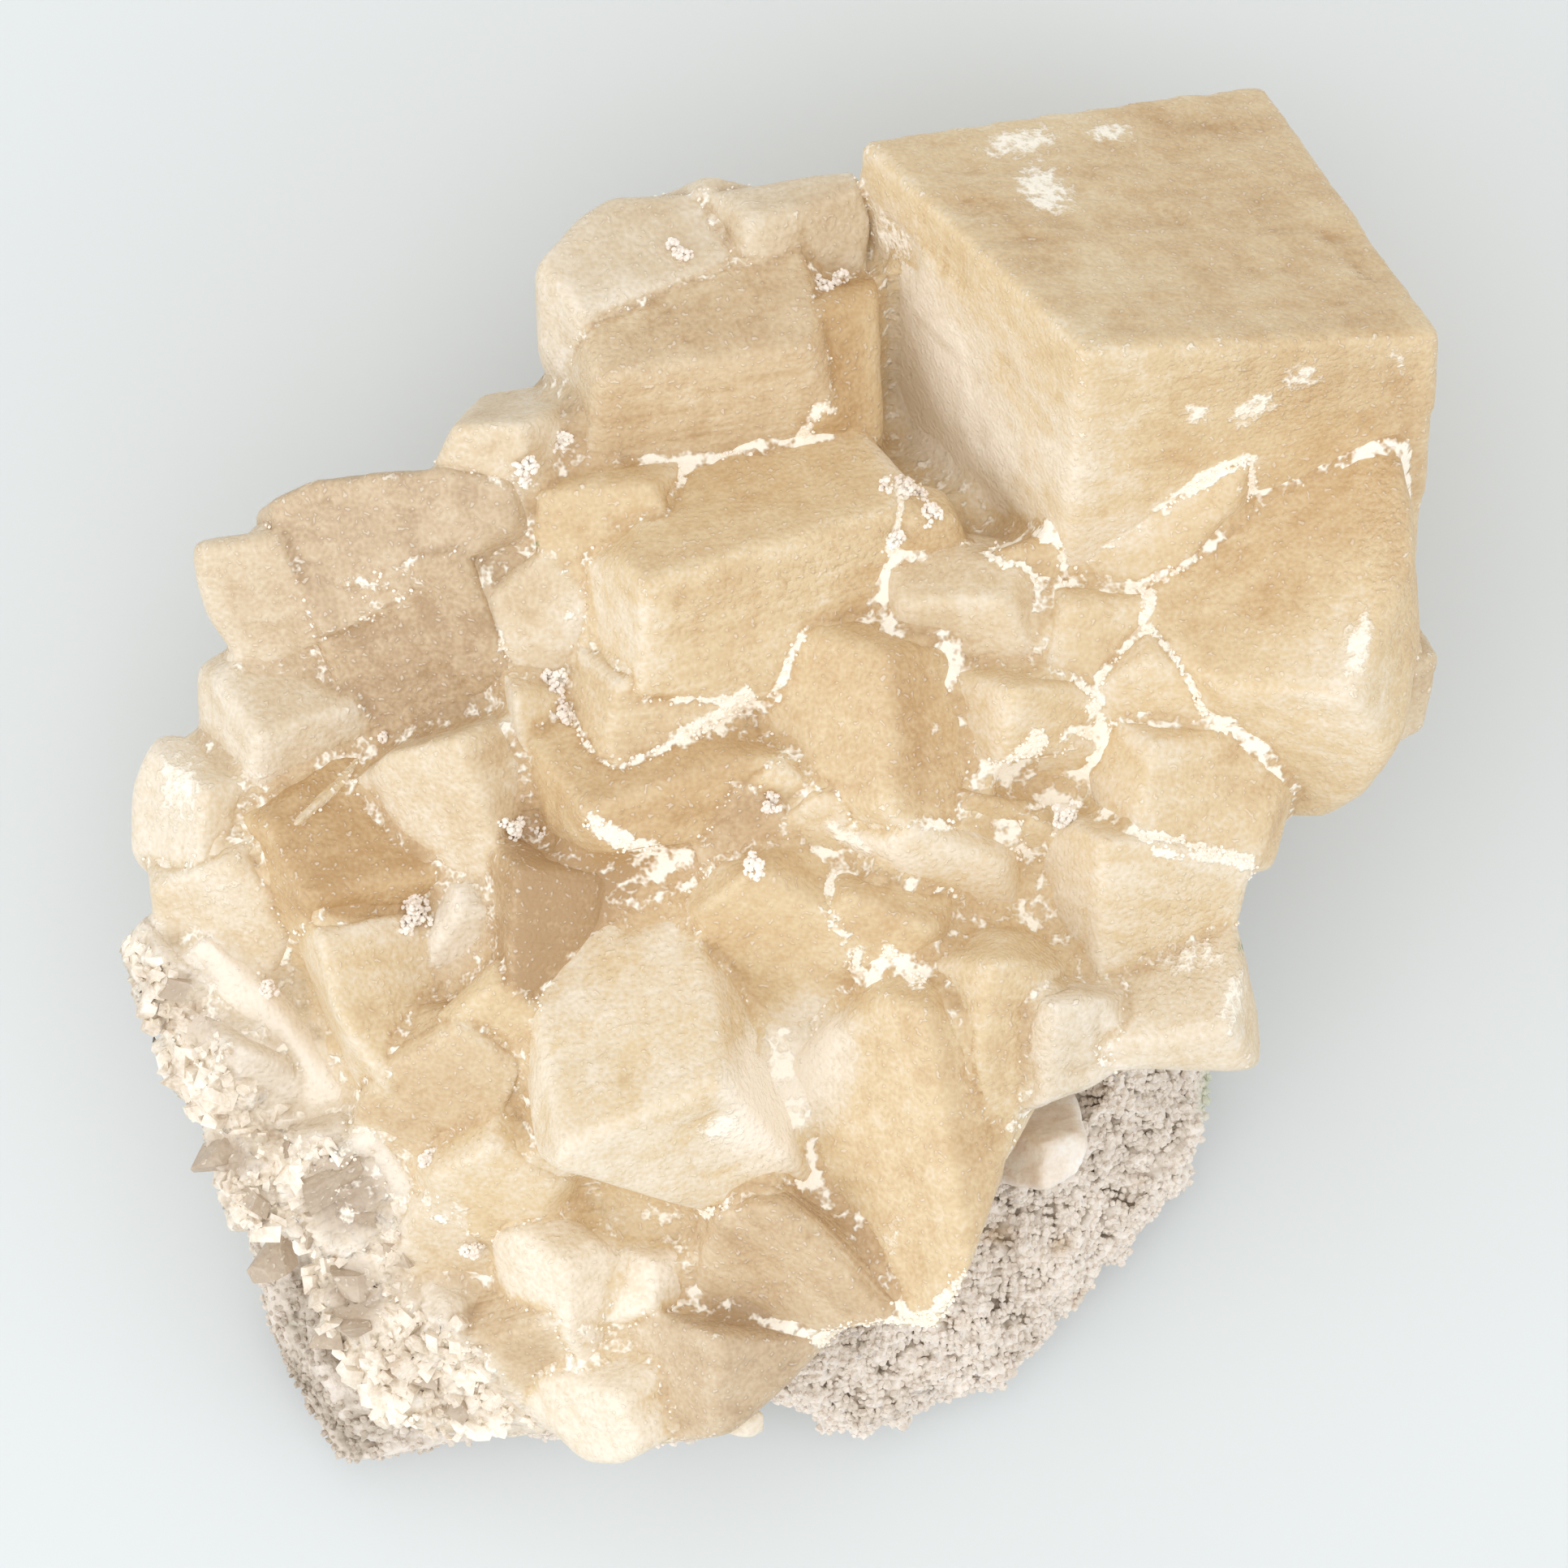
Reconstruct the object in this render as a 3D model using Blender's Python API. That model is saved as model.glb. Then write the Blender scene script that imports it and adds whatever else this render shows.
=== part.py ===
# Calcite specimen: honey rhombs grown through each other on a grey, pitted rock.
# It lies on the rock's flat broken back, crystals up, and is built in millimetres, then scaled to metres.
import math
import random

import bmesh
import bpy
from mathutils import Matrix, Quaternion, Vector, noise
from mathutils.geometry import convex_hull_2d

# Driving dimensions, in mm
MM = 0.001                # metres in a millimetre
GAP = 0.3                 # clearance between pieces that touch
FACE_COSINE = 0.206       # cosine of calcite's face angle: 101.9 degrees where blunt, 78.1 where sharp
PAIRS = ((0, 1), (1, 2), (2, 0))
LINE_SLACK = 0.14         # radians that an edge may lie off its line in the plan
HEIGHT_SLACK = 8.0        # how freely a crystal leaves the height in the table
SEAM_PULL = 3.0           # how strongly neighbours are drawn to meet at their seams
SETTLE_STEPS = (0.2, 0.2, 0.1, 0.1, 0.05, 0.05, 0.025, 0.025)    # radians that a crystal turns at a time
SEAM_LAP = 0.45           # how far a crystal runs past its seam, into its neighbour
SEAM_SPREAD = 0.4         # how far its sides spread below a seam, for each mm of depth
SEAM_SKIRT = 1.8          # where that spread ends
OPEN_LEAN = 0.05          # how far its sides draw in instead where nothing stands beside it
ROOT_DEPTH = (15.0, 26.0)    # how deep a seamed crystal reaches below its corner, small ones least
LOWEST_CRYSTAL = 11.0     # no crystal goes below this height
ROCK_CENTRE = (-4.0, -12.0)
ROCK_RIM = 7.0            # height at which the rock is widest
ROCK_TOP = 27.0
ROOT_CENTRE = (-2.0, -6.0)
ROOT_FLOOR = 12.0
ROOT_RIM = 22.0
ROOT_BELOW = 1.5          # how far the root mass stays under the seams
ROOT_BLUR = 6.5           # and over what distance it evens them out
DEEPEST_SEAM = 12.0       # no seam counts as lower than this under its crystal's corner
FLANK_COUNT = 26          # rhombs around the sides, under the overhang
BARE_ROCK = (-85, -18)    # angles, in degrees, where the rock shows and no flank rhomb stands
GIANT_FAR_SHIFT = (4.3, 4.2)    # the giant's far edge stands out further than a true rhomb's

# The rock's widest line seen from above, anticlockwise
ROCK_LINE = [
    (42.2, -14.5), (40, -4), (46, 8), (48, 20), (42, 30), (28, 34), (12, 44), (-4, 46), (-18, 38),
    (-32, 26), (-44, 16), (-50, 0), (-55, -12), (-58, -22), (-54, -32), (-50.5, -41), (-48, -49),
    (-48, -54), (-43, -60), (-41.5, -64.7), (-35, -63), (-28.5, -61), (-20, -61.5), (-14, -63),
    (-9.5, -62.6), (-3, -57), (1.2, -58), (5, -61.5), (7, -62.5), (11.5, -60), (14, -58.3),
    (18, -59.1), (22, -55), (25, -53), (28, -47.5), (34, -41.5), (37.5, -37.8), (39.7, -33), (40, -26),
]

# The mass that the crystals grow from
ROOT_LINE = [
    (46, 14), (42, 28), (28, 36), (14, 40), (6, 46), (-6, 50), (-15, 46), (-20, 36), (-28, 26),
    (-42, 22), (-48, 12), (-50, 2), (-55, -6), (-56, -14), (-53, -24), (-48, -34), (-42, -44),
    (-38, -54), (-22, -58), (-10, -57), (2, -50), (12, -44), (16, -32), (26, -24), (38, -20), (38, -8),
]

# Hollows in the root mass that show between crystals: x, y, radius, depth
ROOT_HOLLOWS = [(5, 39, 9, 20), (12.5, 25, 5, 8)]

# Pits in the rock, large enough to see from a step away: x, y, radius, depth
ROCK_PITS = [
    (21, -40, 2.2, 2.2), (26, -41, 2.0, 1.8), (32, -33, 2.2, 2.0), (35, -34, 1.8, 1.6), (33, -37, 2.4, 2.2),
    (19, -46, 2.2, 1.8), (27, -29, 2.2, 1.8), (22, -50, 2.2, 1.8), (28, -43, 1.8, 1.6), (15, -53, 2.4, 1.8),
    (-44, -50, 2.4, 1.6), (-39, -59, 2.2, 1.4), (36, -29, 2.0, 1.4), (10, -57, 2.0, 1.6),
]

# Free rhombs: corner nearest the eye, three edges seen from above, how round
FREE = {
    "giant": ((27.5, 39.8, 75), ((33.5, 1.6), (-20.7, 20), (-2.2, -26)), 0.7),
    "right_back": ((56, 10, 44), ((5, 2.2), (-1.5, -7.5), (-3, 4)), 0.5),
    "top_peek": ((-7.5, 54.8, 45), ((6.5, -1.8), (-6.5, -3), (0.3, 2)), 0.6),
    "white_lump": ((-3.6, -59, 26), ((2.2, 0.6), (-2.2, 0.6), (0.2, -2.4)), 0.4),
}

# Seamed crystals: corner nearest the eye, three edges seen from above, how round, seams in order
SEAMED = {
    "right_big": ((52.5, 8, 66), ((1.5, 23), (-19, 3), (3, -10.5)), 2.2,
                  [(33.5, 17.7), (34, 13), (37, 9.5), (40, 6.3), (44, 0.5), (45.5, -2.6), (50, -3),
                   (54, -0.5), (57, 5), (58.6, 14), (57.5, 25), (57, 30), (52, 32.5), (48, 31), (44, 28)]),
    "wedge": ((43, 30.5, 60), ((-19, -5), (-8, -13), (5, 5)), 0.8,
              [(25, 23.5), (28, 19), (33, 17.5), (36, 20), (40, 24), (43.5, 29.5), (31, 27)]),
    "brown_triangle": ((21, 22, 51), ((8, -2), (-1, -7), (-3, 3)), 0.6,
                       [(20, 21.2), (23, 19), (26.5, 18.3), (26.5, 23.7)]),
    "east_low": ((34, 4, 57), ((12, -2.2), (-6, 2.5), (-1, -10)), 1.0,
                 [(29, 5), (29.5, -0.5), (36, -6.6), (43.5, -6), (45, -1), (40, 6.2), (34, 5.4)]),
    "east_chip": ((34, 12, 57), ((8, -5), (-6, -3), (0, 4)), 0.6,
                  [(29, 9), (31, 5.2), (40, 6.3), (36.5, 9.7), (33.8, 13)]),
    "east_mid": ((26, 17, 57), ((8, -1), (-1.5, -9), (-3, 3)), 0.9,
                 [(24, 18.3), (24, 13), (25, 11), (28.5, 8), (32.5, 13), (33.3, 17.3)]),
    "east_upper": ((20.5, 17, 57), ((4, -6), (-10, 0), (3, 5)), 1.4,
                   [(10.5, 22.3), (10.5, 14.5), (14, 12), (19, 11.5), (24.3, 13), (24, 17), (20, 21)]),
    "east_heart": ((21.5, 9, 58), ((8, -0.8), (-7, 1.5), (-1.5, -8)), 1.2,
                   [(15.5, 10.8), (17.5, 5), (16, 1.5), (22, 2.6), (28.5, 5), (28.5, 8), (24.5, 12.4)]),
    "east_small": ((26, 4.5, 51), ((4, -1.5), (-3, -1), (-0.3, 4)), 0.5,
                   [(24, 4), (24, -1), (28.5, 2.5), (28.7, 5)]),
    "top_centre": ((-17, 37.5, 59), ((20, 4), (-1.5, 9), (-1.2, -8.5)), 1.8,
                   [(-18.9, 38), (-18.6, 30), (-9, 29), (-1, 32), (3, 34), (3, 41), (2.2, 46), (0, 50),
                    (-5, 49), (-10, 47), (-16, 43.8)]),
    "top_left": ((-18.5, 43.5, 53), ((13, 8), (-3.5, 8.5), (-2, -6)), 1.2,
                 [(-22.5, 43), (-19.5, 38), (-16, 43.8), (-10, 47), (-5, 49), (-6, 53), (-8, 54),
                  (-16, 53.7), (-19, 51.7), (-22.6, 47.5)]),
    "top_rough": ((-3, 52, 47), ((9, 3), (-3, 2.5), (0, -6)), 0.7,
                  [(-7, 54.3), (-6, 50), (0, 49), (4, 46), (5, 50), (5, 56.6), (-2, 55.3)]),
    "slot": ((3.5, 44, 30), ((5, 1.5), (0.5, -11), (-4, 2)), 0.4,
             [(1.5, 44), (2.5, 33), (8.8, 33), (8.3, 45)]),
    "slot_low": ((12, 25, 40), ((5, -2), (-1, -5), (-3, 3)), 0.4,
                 [(9.5, 28), (9.5, 22), (17, 21.5), (15, 27)]),
    "shoulder": ((-24, 33.5, 46), ((6, 2), (-6, -1), (0.5, -6)), 0.8,
                 [(-32.3, 29), (-22.5, 27.5), (-18.5, 33), (-22, 38.5), (-24.6, 40), (-25, 37),
                  (-29, 35.5)]),
    "centre_big": ((-13, 18.5, 63), ((23, 8.5), (-5, 7), (2, -10)), 2.8,
                   [(-18, 18.5), (-17.5, 13.5), (-14.5, 8.3), (-5, 9.3), (-0.5, 9.5), (2, 13.5),
                    (6, 15.7), (10, 16), (10.3, 29), (8, 31.6), (5, 33.2), (0, 32), (-9.5, 28.9),
                    (-14.5, 23.5)]),
    "behind_centre": ((-12, 28, 50), ((4, -10), (-11, -1), (2, 4)), 0.8,
                      [(-23, 28), (-22, 21), (-20, 16), (-12, 16), (-9, 28.5)]),
    "small_rhomb": ((-22.3, 21.4, 52), ((5, -6.5), (-6.3, -6.5), (1, 3)), 0.6,
                    [(-22.3, 21.6), (-27.7, 16), (-24, 9.3), (-20.5, 9.5), (-18, 16.3)]),
    "west_chip": ((-25, 9, 48), ((4, -2), (0.5, -7), (-3, 3)), 0.6,
                  [(-27, 9.3), (-23.5, 2.5), (-20.5, 5), (-20.5, 9.5)]),
    "under_centre": ((-15.5, 9.5, 57), ((12, -1), (-4.5, 3), (0.5, -8)), 1.0,
                     [(-20, 13.5), (-19, 6), (-15, 1.8), (-10.5, 3.5), (-4, 8.5), (-5, 10), (-15, 10)]),
    "brown_lens": ((-18.5, -2.5, 52), ((19, 4), (-4.5, 6), (1.5, -4.5)), 1.4,
                   [(-23.5, 4.5), (-24, -1), (-17, -6), (-9, -5), (0, -1), (2, 1.5), (-4, 3.5),
                    (-12, 2.2), (-20, 5.8)]),
    "brown_fan": ((-5.3, 0.8, 52), ((6, -5), (-4.5, -6), (0.5, 3)), 0.8,
                  [(-5.5, 1), (-9, -4.5), (-7.5, -7.8), (0.5, -5), (0, -3)]),
    "mid_chip": ((0, 1.8, 47), ((4, -3), (-4, -2), (0, 2)), 0.5,
                 [(-3.8, 0.2), (0, -2.5), (3.2, 0), (0, 2.2)]),
    "mid_ridge": ((9.5, 12.5, 61), ((7.5, 0.8), (-9, 1.2), (1.3, -16)), 2.0,
                  [(5.5, 15.6), (0.5, 11.5), (-1.5, 6), (0.5, 2.5), (4, -0.8), (9, -3.2), (15, -4),
                   (17, -0.5), (18, 5), (16, 10.5), (10.5, 14.3)]),
    "mid_small": ((3.5, -1, 53), ((3.5, -1.5), (-3, -2), (0, 3)), 0.6,
                  [(1, -2), (0.5, -4.5), (4, -6), (7, -3), (5, -0.6)]),
    "mid_leaf": ((12, -4.5, 56), ((8, -2), (-4, -2), (0, 4)), 1.2,
                 [(8, -4), (6, -5.5), (11, -9), (14, -11), (20, -10.5), (20.5, -7.5), (15, -3.8)]),
    "mid_hollow": ((6, -10, 53), ((8, -2), (-3, -3), (1, 3)), 0.7,
                   [(3.8, -9.5), (4, -12.5), (8, -17), (14.2, -14), (14.2, -11.3), (6, -9)]),
    "pocket_a": ((18, -1.5, 47), ((5, -1), (-3, -1), (0, 4)), 0.4,
                 [(15.5, -1), (18, -4.7), (23.5, -2)]),
    "pocket_b": ((23, -3.5, 47), ((2.5, -1), (-2, -1.5), (0, 3)), 0.4,
                 [(21.5, -3), (23.5, -7), (25.5, -3)]),
    "east_bright": ((29.5, -5, 56), ((12, -3), (-5.5, 2.5), (0.3, -12)), 1.6,
                    [(23.3, -11), (26, -16.3), (31, -17.8), (41.5, -14), (43, -6.5), (36, -6.4),
                     (30.5, -0.3), (26, -1.2)]),
    "east_foot": ((41.5, -22.5, 46), ((-13, -1), (0.3, 9.5), (1.5, -3.3)), 0.9,
                  [(29, -25.8), (43.6, -26), (43.4, -21), (41.5, -13), (30, -17.5)]),
    "east_shade": ((25, -19.5, 47), ((5.5, -1), (-4, 2), (1.5, -9)), 1.0,
                   [(23.5, -18.5), (21, -30.5), (28, -27.8), (30.5, -26), (30, -18.5)]),
    "south_ridge": ((19.5, -13.5, 58), ((5.5, -1), (-4.5, 1.2), (1.5, -16)), 1.8,
                    [(14.5, -15.3), (16.5, -23), (20.5, -31), (24.3, -24), (24.5, -15), (20, -11.7),
                     (16, -13.5)]),
    "south_long": ((13, -20.5, 59), ((6.5, 0.8), (-11, 0.8), (1.8, -25)), 2.0,
                   [(3.8, -23.3), (1.5, -27), (3, -32), (1.5, -38.3), (9, -47.5), (14.8, -48.7),
                    (17.2, -43), (21, -32), (18, -25.5), (15, -20.6), (10, -17.3)]),
    "south_tan": ((-3, -8, 58.5), ((9, -3), (-6, -3), (1.5, 4)), 1.2,
                  [(-9.5, -10), (-4.5, -20.5), (0, -24.7), (7.3, -17), (5, -11), (3, -7), (-1, -6.3)]),
    "pillow": ((-5.5, -27.5, 62), ((-6, 15), (-15, -4), (5.5, -8)), 3.0,
               [(-13, -10.3), (-19, -13.3), (-22.4, -18.5), (-22.3, -25), (-20.5, -35), (-10, -38.6),
                (0, -37.7), (2.8, -33), (1.2, -26), (-4.5, -18), (-9, -11)]),
    "south_striped": ((-0.8, -38.4, 50), ((9, -9.3), (-7, -1), (1.5, 3)), 1.0,
                      [(-7.5, -38), (-6.5, -49), (3, -51.2), (13.5, -48.8), (9, -47.3), (0, -37.5)]),
    "brown_west": ((-25.5, -7.5, 51), ((12, -3), (-2, 2.5), (1.5, -12)), 0.9,
                   [(-27.3, -6.5), (-27.3, -12), (-24.5, -19.8), (-22.2, -19), (-18.5, -13),
                    (-12.8, -10.2), (-21.5, -4.6)]),
    "pale_inset": ((-30, -11, 43), ((4, -0.5), (-2, -3), (0, 3)), 0.5,
                   [(-32.2, -10.5), (-31.5, -16), (-27, -15.5), (-27, -9.7)]),
    "dark_amber": ((-44.4, -10.6, 45), ((12, 1.4), (-5, 7), (-1.5, -4)), 0.9,
                   [(-49.7, -5), (-47.5, -9), (-43.7, -12.7), (-36, -12.2), (-31, -9.7), (-34, -4.5),
                    (-38.6, 4.2), (-42, 1.8)]),
    "west_edge": ((-30, 4.5, 50), ((5.5, 2), (-7, -2), (2.5, -12)), 1.0,
                  [(-37.2, 0), (-32, -8.3), (-27.5, -9), (-24, -1.5), (-25.2, 5), (-27, 8.3)]),
    "west_square": ((-30.3, 21.5, 55), ((4.5, -12.5), (-12.5, -6.5), (3, 4)), 1.0,
                    [(-43.3, 16), (-42, 10.5), (-39, 4.8), (-36, 4.8), (-26, 9), (-28.7, 20.3),
                     (-31, 22.9)]),
    "west_top": ((-25.5, 27.8, 54), ((-18, 0.6), (-1.5, -10), (1.5, 2)), 1.0,
                 [(-47.4, 26), (-45, 19), (-43, 15.7), (-31, 22.3), (-29, 20.8), (-23.4, 22.7),
                  (-23.3, 27.3), (-30, 28.9), (-43, 28)]),
    "west_cream": ((-47, 22.5, 45), ((4.5, -10), (-7.5, -0.5), (1, 2.5)), 1.0,
                   [(-54.6, 22.3), (-54.5, 20), (-53.5, 16), (-50.5, 11.5), (-43, 13), (-45, 20),
                    (-47, 23.3)]),
    "west_wedge": ((-49, 4.5, 46), ((10, 2), (-4, 5), (-0.5, -6)), 1.2,
                   [(-54.2, 9), (-54.2, 5.5), (-48, -1.8), (-38.6, 4.3), (-41.3, 9.7), (-48, 12.4)]),
    "west_white": ((-53.5, -0.5, 39), ((5, -0.5), (-5, 3), (-0.5, -7)), 0.8,
                   [(-60.5, 0), (-60.5, -4.5), (-57.5, -7.2), (-52, -6.2), (-48.7, -1), (-54, 4),
                    (-58.3, 4.3)]),
    "west_pale": ((-51, -7, 38), ((6, -5), (-7, -2), (1.5, 3)), 0.9,
                  [(-59, -8), (-58.3, -13), (-49, -18.8), (-47.3, -17), (-45, -11.3), (-49.5, -5.3),
                   (-52, -5)]),
    "south_west": ((-44.5, -14, 46), ((12, -1), (-2.5, 2), (6, -15.5)), 1.2,
                   [(-47.5, -11.8), (-45.3, -22.3), (-38.2, -31.2), (-34.8, -22), (-31.8, -16),
                    (-36, -11.8)]),
    "south_west_low": ((-30, -22.5, 48), ((5, -3.5), (-6, -4), (1, 4)), 1.2,
                       [(-35.2, -22), (-38.2, -31.2), (-32, -33.5), (-26, -30.7), (-24.3, -25),
                        (-29.5, -20.8)]),
    "brown_gusset": ((-27, -18.5, 43), ((5, -2.5), (-4, -2.5), (0, 3)), 0.5,
                     [(-31.3, -21), (-24, -26.5), (-21.8, -20), (-26.5, -16.8)]),
    "south_shade": ((-27, -33.5, 46), ((5.5, -3), (-5.5, -1.5), (0, 4)), 1.0,
                    [(-33.3, -35.5), (-31, -41.3), (-26, -42.2), (-20.5, -38.5), (-20.5, -34),
                     (-25.5, -30.3), (-31, -31.7)]),
    "south_cream": ((-31, -38, 40), ((3.5, -3), (-4, -2), (0.5, 3)), 0.8,
                    [(-35.3, -38), (-35.3, -46.5), (-28, -46.5), (-28, -42), (-33, -35.8)]),
    "white_upper": ((-20.3, -44.5, 47), ((4.5, 2), (-5, 2.5), (1, -6)), 0.7,
                    [(-25.8, -42.5), (-23.7, -48.2), (-18, -52.2), (-15.3, -46), (-17, -42.8),
                     (-21, -39.4)]),
    "white_side": ((-12, -44, 43), ((3.5, 0.5), (-3.5, 1), (0, -5)), 0.7,
                   [(-15.3, -41.8), (-15.7, -48.3), (-10, -48.5), (-8.7, -43)]),
    "white_lower": ((-15.3, -57, 38), ((5.5, 2.5), (-8, 1), (1.5, -6)), 0.7,
                    [(-15, -51.2), (-24.3, -57.7), (-18, -63), (-15, -63), (-10.4, -60.3),
                     (-9.8, -55.5)]),
    "striped_slab": ((-20, -49.5, 40), ((4, -2), (-9, -2), (1, 3)), 0.6,
                     [(-30.3, -48.5), (-27, -55.5), (-23, -58.5), (-15.5, -51), (-19, -49.5)]),
    "tan_low": ((-6, -51, 37), ((8, -0.6), (-8, 1.5), (-1, -9)), 1.0,
                [(-15.3, -50.5), (-10.3, -61), (-5, -60), (2.5, -53), (3, -50.8), (-5, -48.5)]),
    "west_gap_fill": ((-46, -1.0, 35), ((4, 3), (-3, -2), (2, -3)), 0.6,
                      [(-51, -6), (-49, -1.5), (-40, 5), (-38.6, 3.6), (-47, -6)]),
    "ledge_upper": ((-54, -13.6, 37), ((12, -14), (-5, -4), (1.5, 1.2)), 0.5,
                    [(-55.5, -13.3), (-57, -18), (-50, -23), (-44, -31), (-40, -31), (-39.6, -28.5),
                     (-45, -22)]),
    "ledge_lower": ((-39.5, -29.5, 37), ((5, -8), (-5, -3.5), (1.2, 1)), 0.5,
                    [(-40, -28.5), (-45, -31.5), (-40, -39), (-34.8, -38.3)]),
    "broken_rim": ((-56.5, -15, 31), ((5, -3), (-4, 3.4), (-2, -6)), 0.5,
                   [(-61, -15), (-60, -20), (-56, -26), (-49, -22), (-55, -13), (-58, -10.5)]),
    "broken_mid": ((-51.5, -24, 28), ((6, -3), (-3, 2), (-2, -7)), 0.5,
                   [(-57.5, -26), (-53, -33), (-45, -31), (-47, -24), (-52, -20)]),
    "broken_face": ((-41.5, -34, 32), ((5, -4), (-4, -1), (-0.5, 5)), 0.5,
                    [(-46.5, -34), (-46.5, -42), (-41, -45), (-34.8, -43), (-34.8, -38), (-41, -31)]),
    "broken_step": ((-49, -34, 25), ((4, -1.2), (-3, 1.6), (-1, -6)), 0.5,
                    [(-53, -34), (-50.5, -41), (-46, -41), (-45, -32)]),
    "broken_dark": ((-39.5, -46.5, 28), ((5, -1.5), (-3, -1), (0.5, 4)), 0.5,
                    [(-43.5, -47), (-41, -54), (-36, -52), (-34.8, -44), (-40, -44)]),
    "broken_foot": ((-32, -51, 29), ((6, -2.5), (-4, -1), (0.5, 4)), 0.6,
                    [(-38.5, -52), (-38, -59.5), (-31, -61), (-24, -59), (-27, -54), (-30, -48),
                     (-35, -46)]),
}

PALE_CORNER = ((24.2, -33.4, 29.0), ((3.6, 0.6), (-3.4, 1.8), (0.3, -4.4)), 0.9)
PALE_SEAMS = [
    (19.6, -35.2), (20.0, -32.6), (21.4, -30.2), (23.6, -29.0), (26.0, -29.4), (27.6, -31.2), (28.0, -33.6),
    (26.9, -36.0), (24.6, -37.4), (21.8, -37.2),
]


def clear_scene():
    for leftover in list(bpy.data.objects):
        bpy.data.objects.remove(leftover, do_unlink=True)


def make_collection(name):
    group = bpy.data.collections.new(name)
    bpy.context.scene.collection.children.link(group)
    return group


def principled(name, colour, roughness):
    made = bpy.data.materials.new(name)
    made.use_nodes = True
    shader = made.node_tree.nodes["Principled BSDF"]
    shader.inputs["Base Color"].default_value = (*colour, 1.0)
    shader.inputs["Roughness"].default_value = roughness
    shader.inputs["Metallic"].default_value = 0.0
    made.diffuse_color = (*colour, 1.0)
    return made


def edge_drops(plan):
    # How far each edge of a calcite corner falls, given the three edges as seen from above.
    # A corner has three blunt face angles, or one blunt and two sharp: the likeliest of the four is kept.
    flat = [Vector((*edge, 0.0)) for edge in plan]
    best = None
    for signs in ((-1, -1, -1), (-1, 1, 1), (1, -1, 1), (1, 1, -1)):
        drop = [edge.length for edge in flat]
        for _ in range(80):
            long = [math.hypot(edge.length, fall) for edge, fall in zip(flat, drop)]
            ab, bc, ca = (max(sign * FACE_COSINE * long[i] * long[j] - flat[i].dot(flat[j]), 0.5)
                          for sign, (i, j) in zip(signs, PAIRS))
            aim = (math.sqrt(ab * ca / bc), math.sqrt(ab * bc / ca), math.sqrt(bc * ca / ab))
            drop = [0.5 * old + 0.5 * min(max(new, 0.3), 60.0) for old, new in zip(drop, aim)]
        edges = [edge - Vector((0, 0, fall)) for edge, fall in zip(flat, drop)]
        spread = [edge.length for edge in edges]
        miss = sum(abs(edges[i].dot(edges[j]) / spread[i] / spread[j] - sign * FACE_COSINE)
                   for sign, (i, j) in zip(signs, PAIRS))
        score = 3.0 * miss + math.log(max(spread) / min(spread))
        if best is None or score < best[0]:
            best = (score, edges)
    return best[1]


def corner_kinds():
    # Calcite's corners as three unit edges: all face angles blunt, or one blunt, each in both hands.
    for signs in ((-1, -1, -1), (-1, 1, 1), (1, -1, 1), (1, 1, -1)):
        ab, bc, ca = (sign * FACE_COSINE for sign in signs)
        b_side = math.sqrt(1 - ab * ab)
        c_side = (bc - ca * ab) / b_side
        c_up = math.sqrt(1 - ca * ca - c_side * c_side)
        for hand in (1, -1):
            yield [Vector((1, 0, 0)), Vector((ab, b_side, 0)), Vector((ca, c_side, hand * c_up))]


def misfit(edges, plan):
    # How far a corner is from its plan: edges off their lines, edges that rise, wide faces that are steep.
    plan = [Vector(seen) for seen in plan]
    total = sum(seen.length for seen in plan)
    area = sum(abs(plan[i].cross(plan[j])) for i, j in PAIRS)
    cost = 0.0
    for edge, seen in zip(edges, plan):
        cost += max(0.0, edge.z + 0.05) * 60
        flat = edge.xy
        if flat.length > 1e-4:
            cost += seen.length / total * min(1.0, flat.length * 2) * (flat.angle(seen) / LINE_SLACK) ** 2
    for i, j in PAIRS:
        normal = edges[i].cross(edges[j]).normalized()
        steep = max(0.0, math.acos(min(1.0, abs(normal.z))) - 0.25)
        cost += 1.5 * abs(plan[i].cross(plan[j])) / area * (steep / 0.35) ** 2
    return cost


def turned(frame, pair, aims):
    # The frame, turned so that a pair of its edges lies along two aims.
    def basis(one, two):
        across = one.cross(two).normalized()
        return Matrix((one.normalized(), across, one.cross(across).normalized())).transposed()
    turn = basis(aims[pair[0]], aims[pair[1]]) @ basis(frame[pair[0]], frame[pair[1]]).transposed()
    return [turn @ edge for edge in frame]


def near_edges(plan):
    # The three unit edges of the true calcite corner that fits its plan best.
    plan = [Vector(edge) for edge in plan]
    longest = max(edge.length for edge in plan)
    aims = [Vector((*edge, -max(0.25 * longest, longest - edge.length))).normalized() for edge in plan]
    best = None
    for frame in corner_kinds():
        for pair in PAIRS:
            edges = turned(frame, pair, aims)
            cost = misfit(edges, plan)
            step = 0.3
            while step > 0.01:
                trials = [[Quaternion(axis, step * sign) @ edge for edge in edges]
                          for axis in ((1, 0, 0), (0, 1, 0), (0, 0, 1)) for sign in (1, -1)]
                least, trial = min(((misfit(trial, plan), number) for number, trial in enumerate(trials)))
                if least < cost - 1e-6:
                    cost, edges = least, trials[trial]
                else:
                    step *= 0.5
            if best is None or cost < best[0]:
                best = (cost, edges)
    return best[1]


def near_faces(edges):
    # The outward normals of the three faces at a corner: each points away from the edge that it lacks.
    faces = []
    for i, j in PAIRS:
        normal = edges[i].cross(edges[j]).normalized()
        faces.append(-normal if normal.dot(edges[3 - i - j]) > 0 else normal)
    return faces


def depth_below(corner, normals, x, y):
    # How far a crystal's faces lie below its corner, at a place seen from above.
    falls = [(normal.x * (x - corner[0]) + normal.y * (y - corner[1])) / max(normal.z, 0.05)
             for normal in normals]
    return min(max(falls), DEEPEST_SEAM)


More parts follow.
